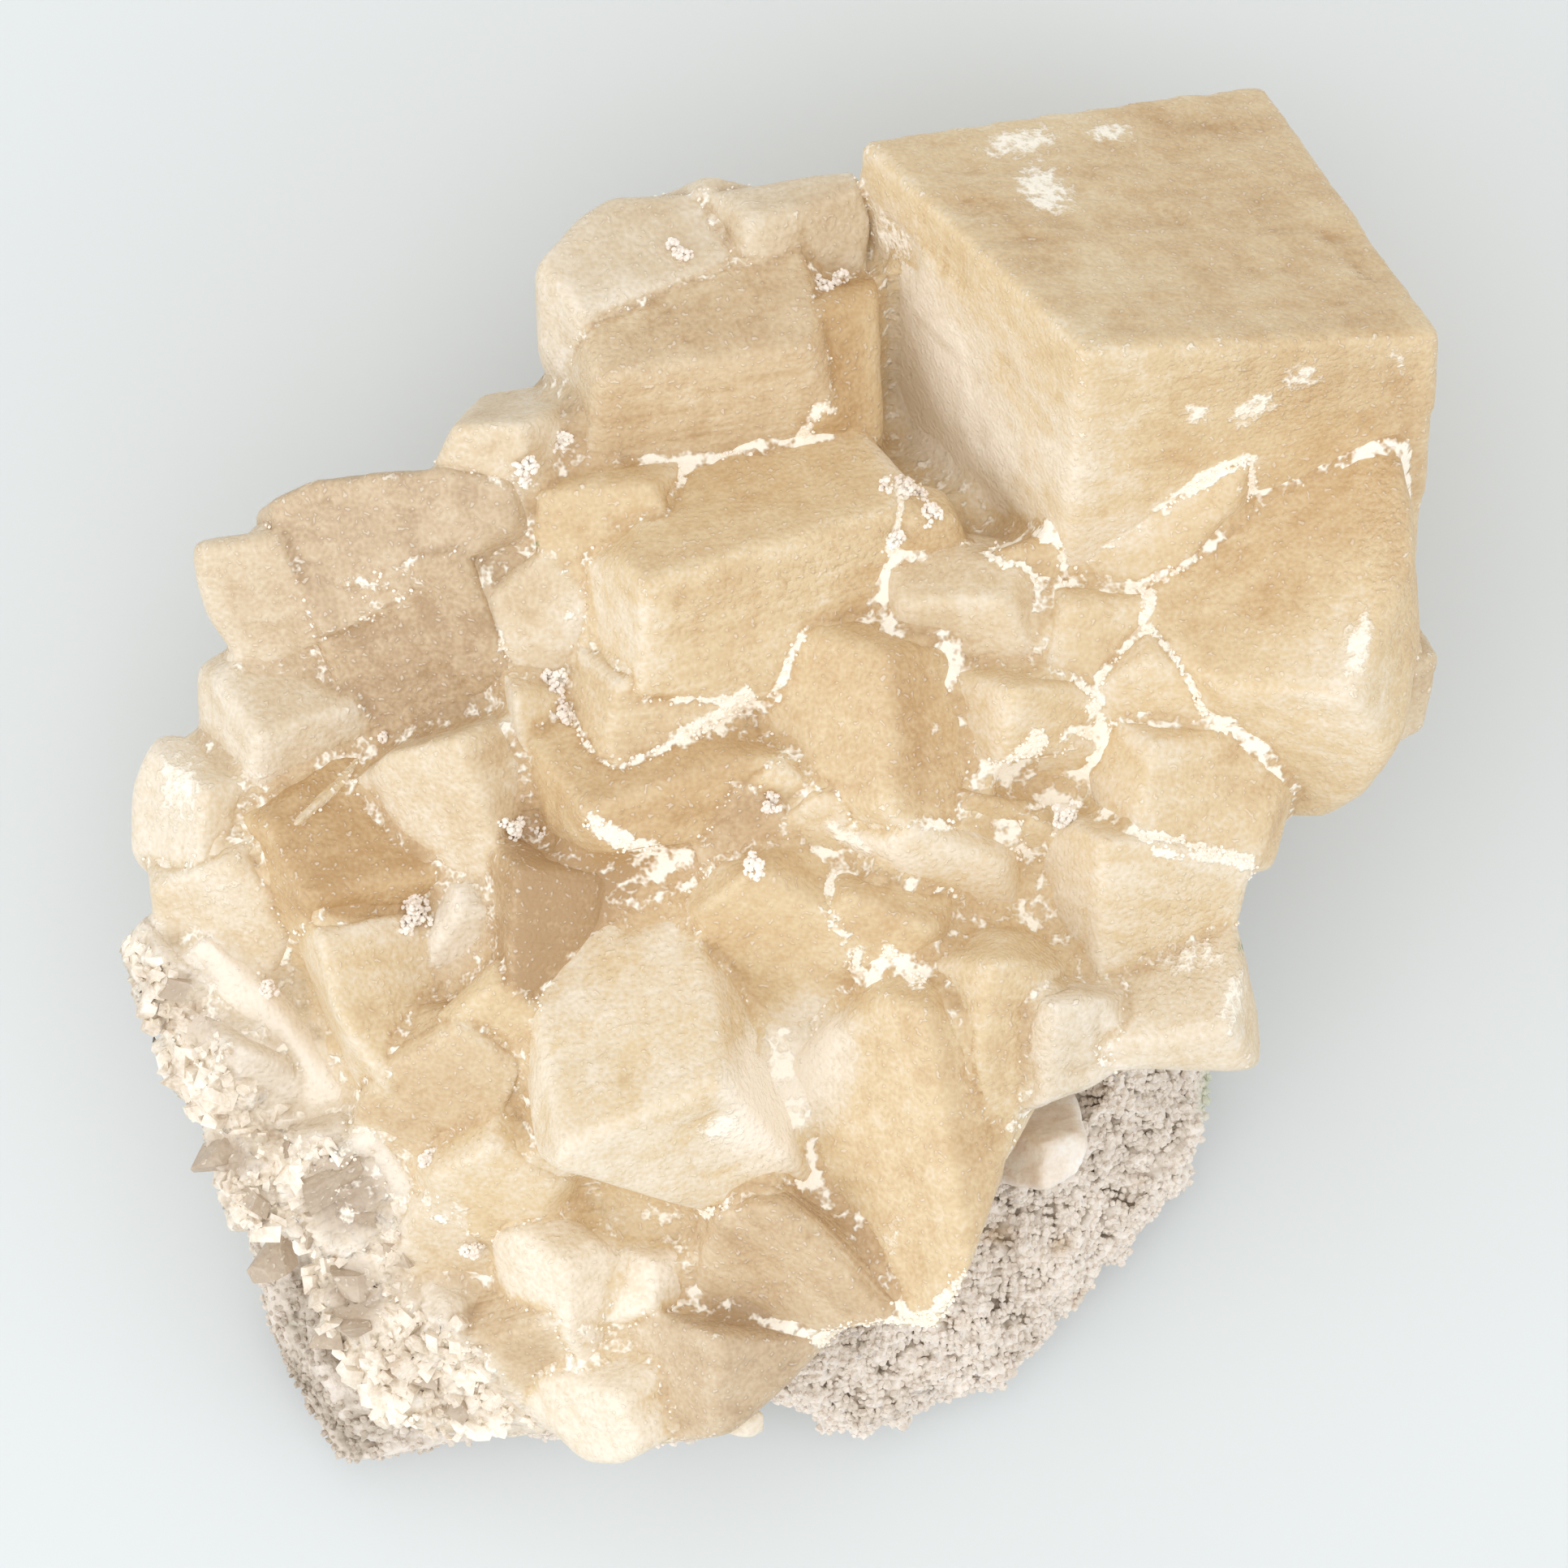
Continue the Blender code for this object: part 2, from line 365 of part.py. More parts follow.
def touches(seams, x, y):
    # Whether a place is inside a crystal's seams, or within a hair of them.
    inside = False
    spot = Vector((x, y))
    for start, end in zip(seams, seams[1:] + seams[:1]):
        start, along = Vector(start), Vector(end) - Vector(start)
        share = min(max((spot - start).dot(along) / along.length_squared, 0.0), 1.0)
        if (spot - start - share * along).length < 1.5:
            return True
        if (start.y > y) != (start.y + along.y > y) and x < start.x + along.x * (y - start.y) / along.y:
            inside = not inside
    return inside


def seam_meetings():
    # For each crystal, the places along the seams where it meets another, and which.
    meetings = {name: [] for name in SEAMED}
    for name, (_, _, _, seams) in SEAMED.items():
        halfway = [((a[0] + b[0]) / 2, (a[1] + b[1]) / 2) for a, b in zip(seams, seams[1:] + seams[:1])]
        for x, y in seams + halfway:
            for other, (_, _, _, theirs) in SEAMED.items():
                if other != name and touches(theirs, x, y):
                    meetings[name].append((x, y, other))
                    meetings[other].append((x, y, name))
    return meetings


def strain(name, edges, top, beside):
    # How badly a crystal fits, turned and raised like this, with its neighbours' heights beside it.
    corner, plan, _, _ = SEAMED[name]
    faces = near_faces(edges)
    steps = [top - depth_below(corner, faces, x, y) - theirs for x, y, theirs in beside]
    uneven = sum(math.sqrt(1 + step * step) - 1 for step in steps) / max(len(steps), 1)
    return misfit(edges, plan) + SEAM_PULL * uneven + ((top - corner[2]) / HEIGHT_SLACK) ** 2


def settle_crystals():
    # Turn, raise and lower each crystal, as far as its plan allows, until neighbours meet at their seams.
    meetings = seam_meetings()
    edges = {name: near_edges(plan) for name, (_, plan, _, _) in SEAMED.items()}
    faces = {name: near_faces(found) for name, found in edges.items()}
    tops = {name: corner[2] for name, (corner, _, _, _) in SEAMED.items()}
    for step in SETTLE_STEPS:
        turns = [Quaternion(axis, step * sign)
                 for axis in ((1, 0, 0), (0, 1, 0), (0, 0, 1)) for sign in (1, -1)]
        for name in SEAMED:
            beside = [(x, y, tops[other] - depth_below(SEAMED[other][0], faces[other], x, y))
                      for x, y, other in meetings[name]]
            least = strain(name, edges[name], tops[name], beside)
            for _ in range(3):
                trials = [([turn @ edge for edge in edges[name]], tops[name]) for turn in turns]
                trials += [(edges[name], tops[name] + 12 * step), (edges[name], tops[name] - 12 * step)]
                costs = [strain(name, *trial, beside) for trial in trials]
                cost = min(costs)
                if cost > least - 1e-6:
                    break
                least = cost
                edges[name], tops[name] = trials[costs.index(cost)]
            faces[name] = near_faces(edges[name])
    return faces, tops


def rhomb(corner, edges):
    # A cube stretched along three crystal edges, its first corner at the given point.
    body = bmesh.new()
    bmesh.ops.create_cube(body, size=1.0)
    across = Matrix([edges[0], edges[1], edges[2]]).transposed().to_4x4()
    place = Matrix.Translation(corner) @ across @ Matrix.Translation((0.5, 0.5, 0.5))
    bmesh.ops.transform(body, matrix=place, verts=body.verts)
    bmesh.ops.recalc_face_normals(body, faces=body.faces)
    return body


def shift_far_edge(body, corner, edges, shift):
    # Slide the edge opposite the near corner outward, within the plane of the top face.
    normal = edges[0].cross(edges[1])
    fall = -(normal.x * shift[0] + normal.y * shift[1]) / normal.z
    far = corner + edges[0] + edges[1]
    for vert in body.verts:
        if (vert.co - far).length < 0.01:
            vert.co += Vector((*shift, fall))
        elif (vert.co - far - edges[2]).length < 0.01:
            vert.co += Vector((*shift, 0.0))


def trim(body, point, outward):
    # Cut away what lies on the outward side of a plane, and close the cut.
    everything = body.verts[:] + body.edges[:] + body.faces[:]
    cut = bmesh.ops.bisect_plane(body, geom=everything, plane_co=point, plane_no=outward, clear_outer=True)
    rim = [piece for piece in cut["geom_cut"] if isinstance(piece, bmesh.types.BMEdge)]
    if rim:
        bmesh.ops.edgenet_fill(body, edges=rim)


def chamfer(body, width, above):
    # Take the sharpness off the edges that lie above a height.
    seen = [edge for edge in body.edges
            if min(vert.co.z for vert in edge.verts) > above and edge.calc_length() > 2.0 * width]
    bmesh.ops.bevel(body, geom=seen, offset=width, segments=1, profile=0.5, affect="EDGES",
                    clamp_overlap=True)


def seamed_crystal(corner, normals, soft, seams, lap):
    # A block as wide as the seams, trimmed along each seam and then by the crystal's three near faces.
    # Its sides spread under a neighbour, so that no slot is left between two crystals.
    middle = sum((Vector((*seam, 0.0)) for seam in seams), Vector()) / len(seams)
    reach = max((Vector((*seam, 0.0)) - middle).length for seam in seams) + 4.0
    depth = min(max(1.5 * reach, ROOT_DEPTH[0]), ROOT_DEPTH[1])
    floor = max(corner.z - depth, LOWEST_CRYSTAL)
    height = corner.z + 12.0 - floor
    body = bmesh.new()
    bmesh.ops.create_cube(body, size=1.0)
    bmesh.ops.scale(body, vec=(2 * reach, 2 * reach, height), verts=body.verts)
    bmesh.ops.translate(body, vec=(middle.x, middle.y, floor + height / 2), verts=body.verts)
    around = [seams[number] for number in convex_hull_2d([Vector(seam) for seam in seams])]
    around = around if signed_area(around) > 0 else around[::-1]
    for start, end in zip(around, around[1:] + around[:1]):
        along = Vector((end[0] - start[0], end[1] - start[1], 0.0)).normalized()
        outward = Vector((along.y, -along.x, 0.0))
        halfway = Vector(((start[0] + end[0]) / 2, (start[1] + end[1]) / 2, 0.0))
        beyond = halfway + 2.0 * outward
        halfway.z = corner.z - depth_below(corner, normals, halfway.x, halfway.y)
        open_side = halfway + lap * outward
        if any(touches(theirs, beyond.x, beyond.y)
               for _, _, _, theirs in SEAMED.values() if theirs is not seams):
            trim(body, open_side, (outward + Vector((0, 0, SEAM_SPREAD))).normalized())
            open_side += SEAM_SKIRT * outward
        trim(body, open_side, (outward - Vector((0, 0, OPEN_LEAN))).normalized())
    for normal in normals:
        trim(body, corner, normal)
    bmesh.ops.recalc_face_normals(body, faces=body.faces)
    lowest_top = min((vert.co.z for vert in body.verts if vert.co.z > floor + 0.5), default=floor + 1.0)
    chamfer(body, soft, min(lowest_top, corner.z - 1.0) - 0.5)
    return body


def signed_area(line):
    return 0.5 * sum(a[0] * b[1] - b[0] * a[1] for a, b in zip(line, line[1:] + line[:1]))


def reach_of(line, centre, angle):
    # Distance from the centre to the line, along an angle.
    ray = Vector((math.cos(angle), math.sin(angle)))
    best = 0.0
    for start, end in zip(line, line[1:] + line[:1]):
        one = Vector(start) - Vector(centre)
        side = Vector(end) - Vector(start)
        turn = ray.cross(side)
        if abs(turn) > 1e-9:
            far = one.cross(side) / turn
            along = one.cross(ray) / turn
            if far > best and -1e-6 <= along <= 1 + 1e-6:
                best = far
    return best


def lump(line, centre, floor, rim, top, hollows, rough, blocky, fullness, detail, seed, finer=None):
    # A ball spread out to a line seen from above, flat below, domed above, with hollows and a rough skin.
    # Blocky adds broken lumps a centimetre across. Finer gives the angles, in degrees, of a denser side.
    body = bmesh.new()
    bmesh.ops.create_icosphere(body, subdivisions=detail, radius=1.0)
    if finer:
        middle = math.radians(sum(finer) / 2)
        half = math.radians(finer[1] - finer[0]) / 2
        dense = [edge for edge in body.edges if all(
            vert.co.z > 0.02 and abs(vert.co.z) < 0.93
            and abs(math.atan2(vert.co.y, vert.co.x) - middle) < half for vert in edge.verts)]
        bmesh.ops.subdivide_edges(body, edges=dense, cuts=1, use_grid_fill=True)
        bmesh.ops.triangulate(body, faces=body.faces)
    for vert in body.verts:
        unit = vert.co.copy()
        angle = math.atan2(unit.y, unit.x)
        out = min(math.hypot(unit.x, unit.y), 1.0) ** fullness * reach_of(line, centre, angle)
        x = centre[0] + out * math.cos(angle)
        y = centre[1] + out * math.sin(angle)
        if unit.z >= 0:
            z = rim + (top(x, y) - rim) * unit.z ** fullness
        else:
            z = max(rim + (rim - floor) * unit.z * 1.8, floor)
        place = Vector((x, y, z))
        shake = rough * noise.fractal(place * 0.16 + Vector((seed, 0, 0)), 1.0, 2.0, 3)
        near, next_near = noise.voronoi(place * 0.085)[0][:2]
        shake += blocky * (next_near - near - 0.35)
        if z > floor:
            x += 0.5 * shake * math.cos(angle)
            y += 0.5 * shake * math.sin(angle)
            z += shake * min(1.0, abs(unit.z) * 4)
        for hx, hy, radius, depth in hollows:
            fade = max(0.0, min(1.0, unit.z * 3))
            z -= fade * depth * math.exp(-((x - hx) ** 2 + (y - hy) ** 2) / radius ** 2)
        vert.co = (x, y, max(z, floor))
    bmesh.ops.recalc_face_normals(body, faces=body.faces)
    return body


def flank_rhombs():
    # Rhombs that stand out of the root mass around its sides, where the crystals above overhang.
    dice = random.Random(11)
    for step in range(FLANK_COUNT):
        angle = math.tau * step / FLANK_COUNT - math.pi + dice.uniform(-0.06, 0.06)
        size = dice.uniform(10, 15)
        if BARE_ROCK[0] < math.degrees(angle) < BARE_ROCK[1]:
            continue
        out = reach_of(ROOT_LINE, ROOT_CENTRE, angle) - 0.45 * size
        place = Vector((ROOT_CENTRE[0] + out * math.cos(angle), ROOT_CENTRE[1] + out * math.sin(angle),
                        dice.uniform(16, 21)))
        spin = Matrix.Rotation(angle + dice.uniform(-0.5, 0.5), 3, "Z")
        tilt = Matrix.Rotation(dice.uniform(0.5, 0.9), 3, "Y")
        turn = Matrix.Rotation(dice.uniform(0, 1.5), 3, "Z")
        frame = spin @ tilt @ turn
        blunt = math.acos(-FACE_COSINE)
        edges = [Vector((1, 0, 0)), Vector((math.cos(blunt), math.sin(blunt), 0))]
        x = -FACE_COSINE
        y = (-FACE_COSINE - x * edges[1].x) / edges[1].y
        edges.append(Vector((x, y, math.sqrt(1 - x * x - y * y))))
        edges = [frame @ edge * size for edge in edges]
        yield rhomb(place - sum(edges, Vector()) / 2, edges)


def keep(body, name, group, material):
    # Put a body made in millimetres into the scene, in metres.
    bmesh.ops.scale(body, vec=(MM, MM, MM), verts=body.verts)
    bmesh.ops.triangulate(body, faces=body.faces)
    mesh = bpy.data.meshes.new(name)
    body.to_mesh(mesh)
    body.free()
    mesh.materials.append(material)
    made = bpy.data.objects.new(name, mesh)
    group.objects.link(made)
    return made


def hide(cutter):
    cutter.hide_render = True
    cutter.display_type = "WIRE"


def join_solids(target, group):
    modifier = target.modifiers.new("grown together", "BOOLEAN")
    modifier.operation = "UNION"
    modifier.operand_type = "COLLECTION"
    modifier.collection = group
    modifier.solver = "MANIFOLD"    # EXACT leaves edges with three faces where several crystals meet


def cut_clear(target, cutter):
    modifier = target.modifiers.new("clear of " + cutter.name, "BOOLEAN")
    modifier.operation = "DIFFERENCE"
    modifier.object = cutter
    modifier.solver = "MANIFOLD"


def bake_whole(target):
    # Apply the modifiers, and drop crumbs and closed bubbles: only the largest body stays.
    mesh = bpy.data.meshes.new_from_object(target.evaluated_get(bpy.context.evaluated_depsgraph_get()))
    body = bmesh.new()
    body.from_mesh(mesh)
    loose = set(body.verts)
    bodies = []
    while loose:
        found = [loose.pop()]
        for vert in found:
            near = [edge.other_vert(vert) for edge in vert.link_edges]
            fresh = [other for other in near if other in loose]
            loose.difference_update(fresh)
            found.extend(fresh)
        bodies.append(found)
    largest = max(bodies, key=len)
    for found in bodies:
        if found is not largest:
            bmesh.ops.delete(body, geom=found, context="VERTS")
    body.to_mesh(mesh)
    body.free()
    target.modifiers.clear()
    target.data = mesh


def grown(source, name, group, amount):
    # A copy of a solid, swollen along its normals, to cut a neighbour clear of it.
    made = bpy.data.objects.new(name, source.data.copy())
    group.objects.link(made)
    swell = made.modifiers.new("swell", "DISPLACE")
    swell.mid_level = 0.0
    swell.strength = amount * MM
    hide(made)
    return made


def rock_height(x, y):
    # Highest under the crystals, falling to the lower right.
    return ROCK_TOP - 0.10 * max(0.0, x - y - 40) - 0.06 * max(0.0, -x - y - 50)


def root_surface(faces, tops):
    # The top of the mass, as a function of place: a little under the seams around each spot.
    heights = [(x, y, tops[name] - depth_below(corner, faces[name], x, y))
               for name, (corner, _, _, seams) in SEAMED.items() for x, y in seams]

    def height(x, y):
        pulls = [math.exp(-((x - sx) ** 2 + (y - sy) ** 2) / ROOT_BLUR ** 2) + 1e-6
                 for sx, sy, _ in heights]
        mean = sum(pull * seam for pull, (_, _, seam) in zip(pulls, heights)) / sum(pulls)
        return mean - ROOT_BELOW
    return height


def build():
    clear_scene()
    parts = make_collection("calcite_specimen")
    cutters = make_collection("cutters")
    crystals = make_collection("crystals")
    calcite = principled("honey_calcite", (0.78, 0.58, 0.34), 0.42)
    pale = principled("pale_calcite", (0.80, 0.72, 0.60), 0.45)
    stone = principled("grey_rock", (0.52, 0.47, 0.42), 0.9)

    rock = keep(lump(ROCK_LINE, ROCK_CENTRE, 0.0, ROCK_RIM, rock_height, ROCK_PITS,
                     rough=2.0, blocky=3.6, fullness=0.8, detail=4, seed=3.0, finer=BARE_ROCK),
                "matrix_rock", parts, stone)
    faces, tops = settle_crystals()
    root_top = root_surface(faces, tops)
    cluster = keep(lump(ROOT_LINE, ROOT_CENTRE, ROOT_FLOOR, ROOT_RIM, root_top, ROOT_HOLLOWS,
                        rough=2.0, blocky=0.0, fullness=0.5, detail=3, seed=9.0),
                   "calcite_cluster", parts, calcite)

    for name, (corner, plan, soft) in FREE.items():
        edges = edge_drops(plan)
        body = rhomb(Vector(corner), edges)
        if name == "giant":
            shift_far_edge(body, Vector(corner), edges, GIANT_FAR_SHIFT)
        chamfer(body, soft, 0.0)
        hide(keep(body, name, crystals, calcite))
    dice = random.Random(5)
    for name, (corner, _, soft, seams) in SEAMED.items():
        lap = SEAM_LAP * dice.uniform(0.6, 1.4)
        place = Vector((corner[0], corner[1], tops[name]))
        hide(keep(seamed_crystal(place, faces[name], soft, seams, lap), name, crystals, calcite))
    for number, body in enumerate(flank_rhombs()):
        hide(keep(body, f"flank_{number}", crystals, calcite))

    rock_clear = grown(rock, "rock_clearance", cutters, GAP)
    join_solids(cluster, crystals)
    cut_clear(cluster, rock_clear)

    corner, plan, soft = PALE_CORNER
    lone = seamed_crystal(Vector(corner), near_faces(near_edges(plan)), soft, PALE_SEAMS, SEAM_LAP)
    lone = keep(lone, "pale_crystal", parts, pale)
    cut_clear(lone, rock_clear)
    bake_whole(lone)
    cut_clear(cluster, grown(lone, "pale_clearance", cutters, GAP))
    bake_whole(cluster)


build()
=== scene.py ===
import math
import random

import bpy
import numpy as np
from mathutils import Matrix, Quaternion, Vector
from mathutils.bvhtree import BVHTree
from mathutils.geometry import convex_hull_2d


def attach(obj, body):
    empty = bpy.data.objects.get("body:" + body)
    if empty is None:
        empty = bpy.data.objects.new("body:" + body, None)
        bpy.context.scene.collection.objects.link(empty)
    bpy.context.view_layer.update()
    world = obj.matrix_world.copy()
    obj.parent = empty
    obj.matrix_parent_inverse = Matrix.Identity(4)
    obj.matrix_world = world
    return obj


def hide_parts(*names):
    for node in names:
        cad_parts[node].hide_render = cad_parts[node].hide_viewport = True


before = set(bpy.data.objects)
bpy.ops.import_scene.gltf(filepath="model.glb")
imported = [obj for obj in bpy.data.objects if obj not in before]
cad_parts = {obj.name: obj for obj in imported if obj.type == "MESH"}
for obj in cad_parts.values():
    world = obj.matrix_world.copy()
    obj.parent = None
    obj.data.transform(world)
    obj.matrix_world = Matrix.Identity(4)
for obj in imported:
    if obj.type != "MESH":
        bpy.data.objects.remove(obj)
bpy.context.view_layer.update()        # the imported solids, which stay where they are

mm = 0.001               # metres in a millimetre
work = bpy.context.scene.collection

crystalTable = {    # corner nearest the eye, three edges seen from above, bevel, all in mm, tint, seams
    "giantCrystal": {},
    "eastCrystals": {
        "rightBig": ((52.5, 8, 66), ((1.5, 23), (-19, 3), (3, -10.5)), 2.2, 0.6,
            [(33.5, 17.7), (34, 13), (37, 9.5), (40, 6.3), (44, 0.5), (45.5, -2.6), (50, -3), (54, -0.5),
             (57, 5), (58.6, 14), (57.5, 25), (57, 30), (52, 32.5), (48, 31), (44, 28)]),
        "wedge": ((43, 30.5, 60), ((-19, -5), (-8, -13), (5, 5)), 0.8, 0.55,
            [(25, 23.5), (28, 19), (33, 17.5), (36, 20), (40, 24), (43.5, 29.5), (31, 27)]),
        "brownTriangle": ((21, 22, 51), ((8, -2), (-1, -7), (-3, 3)), 0.6, 0.8,
            [(20, 21.2), (23, 19), (26.5, 18.3), (26.5, 23.7)]),
        "eastLow": ((34, 4, 57), ((12, -2.2), (-6, 2.5), (-1, -10)), 1, 0.5,
            [(29, 5), (29.5, -0.5), (36, -6.6), (43.5, -6), (45, -1), (40, 6.2), (34, 5.4)]),
        "eastChip": ((34, 12, 57), ((8, -5), (-6, -3), (0, 4)), 0.6, 0.5,
            [(29, 9), (31, 5.2), (40, 6.3), (36.5, 9.7), (33.8, 13)]),
        "eastMid": ((26, 17, 57), ((8, -1), (-1.5, -9), (-3, 3)), 0.9, 0.5,
            [(24, 18.3), (24, 13), (25, 11), (28.5, 8), (32.5, 13), (33.3, 17.3)]),
        "eastUpper": ((20.5, 17, 57), ((4, -6), (-10, 0), (3, 5)), 1.4, 0.5,
            [(10.5, 22.3), (10.5, 14.5), (14, 12), (19, 11.5), (24.3, 13), (24, 17), (20, 21)]),
        "eastHeart": ((21.5, 9, 58), ((8, -0.8), (-7, 1.5), (-1.5, -8)), 1.2, 0.5,
            [(15.5, 10.8), (17.5, 5), (16, 1.5), (22, 2.6), (28.5, 5), (28.5, 8), (24.5, 12.4)]),
        "eastSmall": ((26, 4.5, 51), ((4, -1.5), (-3, -1), (-0.3, 4)), 0.5, 0.5,
            [(24, 4), (24, -1), (28.5, 2.5), (28.7, 5)]),
    },
    "topCrystals": {
        "topCentre": ((-17, 37.5, 59), ((20, 4), (-1.5, 9), (-1.2, -8.5)), 1.8, 0.68,
            [(-18.9, 38), (-18.6, 30), (-9, 29), (-1, 32), (3, 34), (3, 41), (2.2, 46), (0, 50), (-5, 49),
             (-10, 47), (-16, 43.8)]),
        "topLeft": ((-18.5, 43.5, 53), ((13, 8), (-3.5, 8.5), (-2, -6)), 1.2, 0.47,
            [(-22.5, 43), (-19.5, 38), (-16, 43.8), (-10, 47), (-5, 49), (-6, 53), (-8, 54), (-16, 53.7),
             (-19, 51.7), (-22.6, 47.5)]),
        "topRough": ((-3, 52, 47), ((9, 3), (-3, 2.5), (0, -6)), 0.7, 0.5,
            [(-7, 54.3), (-6, 50), (0, 49), (4, 46), (7.6, 47.5), (8, 52), (6.5, 56.6), (-2, 55.3)]),
        "slot": ((3.5, 44, 30), ((5, 1.5), (0.5, -11), (-4, 2)), 0.4, 0.95,
            [(1.5, 44), (2.5, 33), (8.8, 33), (8.3, 45)]),
        "slotLow": ((12, 25, 40), ((5, -2), (-1, -5), (-3, 3)), 0.4, 0.8,
            [(9.5, 28), (9.5, 22), (17, 21.5), (15, 27)]),
        "shoulder": ((-24, 33.5, 46), ((6, 2), (-6, -1), (0.5, -6)), 0.8, 0.55,
            [(-32.3, 29), (-22.5, 27.5), (-18.5, 33), (-22, 38.5), (-24.6, 40), (-25, 37), (-29, 35.5)]),
    },
    "centreCrystals": {
        "centreBig": ((-13, 18.5, 63), ((23, 8.5), (-5, 7), (2, -10)), 2.8, 0.55,
            [(-18, 18.5), (-17.5, 13.5), (-14.5, 8.3), (-5, 9.3), (-0.5, 9.5), (2, 13.5), (6, 15.7),
             (10, 16), (10.3, 29), (8, 31.6), (5, 33.2), (0, 32), (-9.5, 28.9), (-14.5, 23.5)]),
        "behindCentre": ((-12, 28, 50), ((4, -10), (-11, -1), (2, 4)), 0.8, 0.6,
            [(-23, 28), (-22, 21), (-20, 16), (-12, 16), (-9, 28.5)]),
        "smallRhomb": ((-22.3, 21.4, 52), ((5, -6.5), (-6.3, -6.5), (1, 3)), 0.6, 0.5,
            [(-22.3, 21.6), (-27.7, 16), (-24, 9.3), (-20.5, 9.5), (-18, 16.3)]),
        "westChip": ((-25, 9, 48), ((4, -2), (0.5, -7), (-3, 3)), 0.6, 0.4,
            [(-27, 9.3), (-23.5, 2.5), (-20.5, 5), (-20.5, 9.5)]),
        "underCentre": ((-15.5, 9.5, 57), ((12, -1), (-4.5, 3), (0.5, -8)), 1, 0.6,
            [(-20, 13.5), (-19, 6), (-15, 1.8), (-10.5, 3.5), (-4, 8.5), (-5, 10), (-15, 10)]),
        "brownLens": ((-18.5, -2.5, 52), ((19, 4), (-4.5, 6), (1.5, -4.5)), 1.4, 0.75,
            [(-23.5, 4.5), (-24, -1), (-17, -6), (-9, -5), (0, -1), (2, 1.5), (-4, 3.5), (-12, 2.2),
             (-20, 5.8)]),
        "brownFan": ((-5.3, 0.8, 52), ((6, -5), (-4.5, -6), (0.5, 3)), 0.8, 0.8,
            [(-5.5, 1), (-9, -4.5), (-7.5, -7.8), (0.5, -5), (0, -3)]),
        "midChip": ((0, 1.8, 47), ((4, -3), (-4, -2), (0, 2)), 0.5, 0.5,
            [(-3.8, 0.2), (0, -2.5), (3.2, 0), (0, 2.2)]),
        "midRidge": ((9.5, 12.5, 61), ((7.5, 0.8), (-9, 1.2), (1.3, -16)), 2, 0.64,
            [(5.5, 15.6), (0.5, 11.5), (-1.5, 6), (0.5, 2.5), (4, -0.8), (9, -3.2), (15, -4), (17, -0.5),
             (18, 5), (16, 10.5), (10.5, 14.3)]),
        "midSmall": ((3.5, -1, 53), ((3.5, -1.5), (-3, -2), (0, 3)), 0.6, 0.5,
            [(1, -2), (0.5, -4.5), (4, -6), (7, -3), (5, -0.6)]),
        "midLeaf": ((12, -4.5, 56), ((8, -2), (-4, -2), (0, 4)), 1.2, 0.42,
            [(8, -4), (6, -5.5), (11, -9), (14, -11), (20, -10.5), (20.5, -7.5), (15, -3.8)]),
        "midHollow": ((6, -10, 53), ((8, -2), (-3, -3), (1, 3)), 0.7, 0.6,
            [(3.8, -9.5), (4, -12.5), (8, -17), (14.2, -14), (14.2, -11.3), (6, -9)]),
        "pocketA": ((18, -1.5, 47), ((5, -1), (-3, -1), (0, 4)), 0.4, 0.65,
            [(15.5, -1), (18, -4.7), (23.5, -2)]),
        "pocketB": ((23, -3.5, 47), ((2.5, -1), (-2, -1.5), (0, 3)), 0.4, 0.65,
            [(21.5, -3), (23.5, -7), (25.5, -3)]),
    },
    "southCrystals": {
        "eastBright": ((29.5, -5, 56), ((12, -3), (-5.5, 2.5), (0.3, -12)), 1.6, 0.4,
            [(23.3, -11), (26, -16.3), (31, -17.8), (41.5, -14), (43, -6.5), (36, -6.4), (30.5, -0.3),
             (26, -1.2)]),
        "eastFoot": ((41.5, -22.5, 46), ((-13, -1), (0.3, 9.5), (1.5, -3.3)), 0.9, 0.4,
            [(29, -25.8), (43.6, -26), (43.4, -21), (41.5, -13), (30, -17.5)]),
        "eastShade": ((25, -19.5, 47), ((5.5, -1), (-4, 2), (1.5, -9)), 1, 0.4,
            [(23.5, -18.5), (21, -30.5), (28, -27.8), (30.5, -26), (30, -18.5)]),
        "southRidge": ((19.5, -13.5, 58), ((5.5, -1), (-4.5, 1.2), (1.5, -16)), 1.8, 0.45,
            [(14.5, -15.3), (16.5, -23), (20.5, -31), (24.3, -24), (24.5, -15), (20, -11.7), (16, -13.5)]),
        "southLong": ((13, -20.5, 59), ((6.5, 0.8), (-11, 0.8), (1.8, -25)), 2, 0.58,
            [(3.8, -23.3), (1.5, -27), (3, -32), (1.5, -38.3), (9, -47.5), (14.8, -48.7), (17.2, -43),
             (21, -32), (18, -25.5), (15, -20.6), (10, -17.3)]),
        "southTan": ((-3, -8, 58.5), ((9, -3), (-6, -3), (1.5, 4)), 1.2, 0.65,
            [(-9.5, -10), (-4.5, -20.5), (0, -24.7), (7.3, -17), (5, -11), (3, -7), (-1, -6.3)]),
        "pillow": ((-5.5, -27.5, 62), ((-6, 15), (-15, -4), (5.5, -8)), 3, 0.36,
            [(-13, -10.3), (-19, -13.3), (-22.4, -18.5), (-22.3, -25), (-20.5, -35), (-10, -38.6),
             (0, -37.7), (2.8, -33), (1.2, -26), (-4.5, -18), (-9, -11)]),
        "southStriped": ((-0.8, -38.4, 50), ((9, -9.3), (-7, -1), (1.5, 3)), 1, 0.8,
            [(-7.5, -38), (-6.5, -49), (3, -51.2), (13.5, -48.8), (9, -47.3), (0, -37.5)]),
    },
    "westCrystals": {
        "brownWest": ((-25.5, -7.5, 51), ((12, -3), (-2, 2.5), (1.5, -12)), 0.9, 1.02,
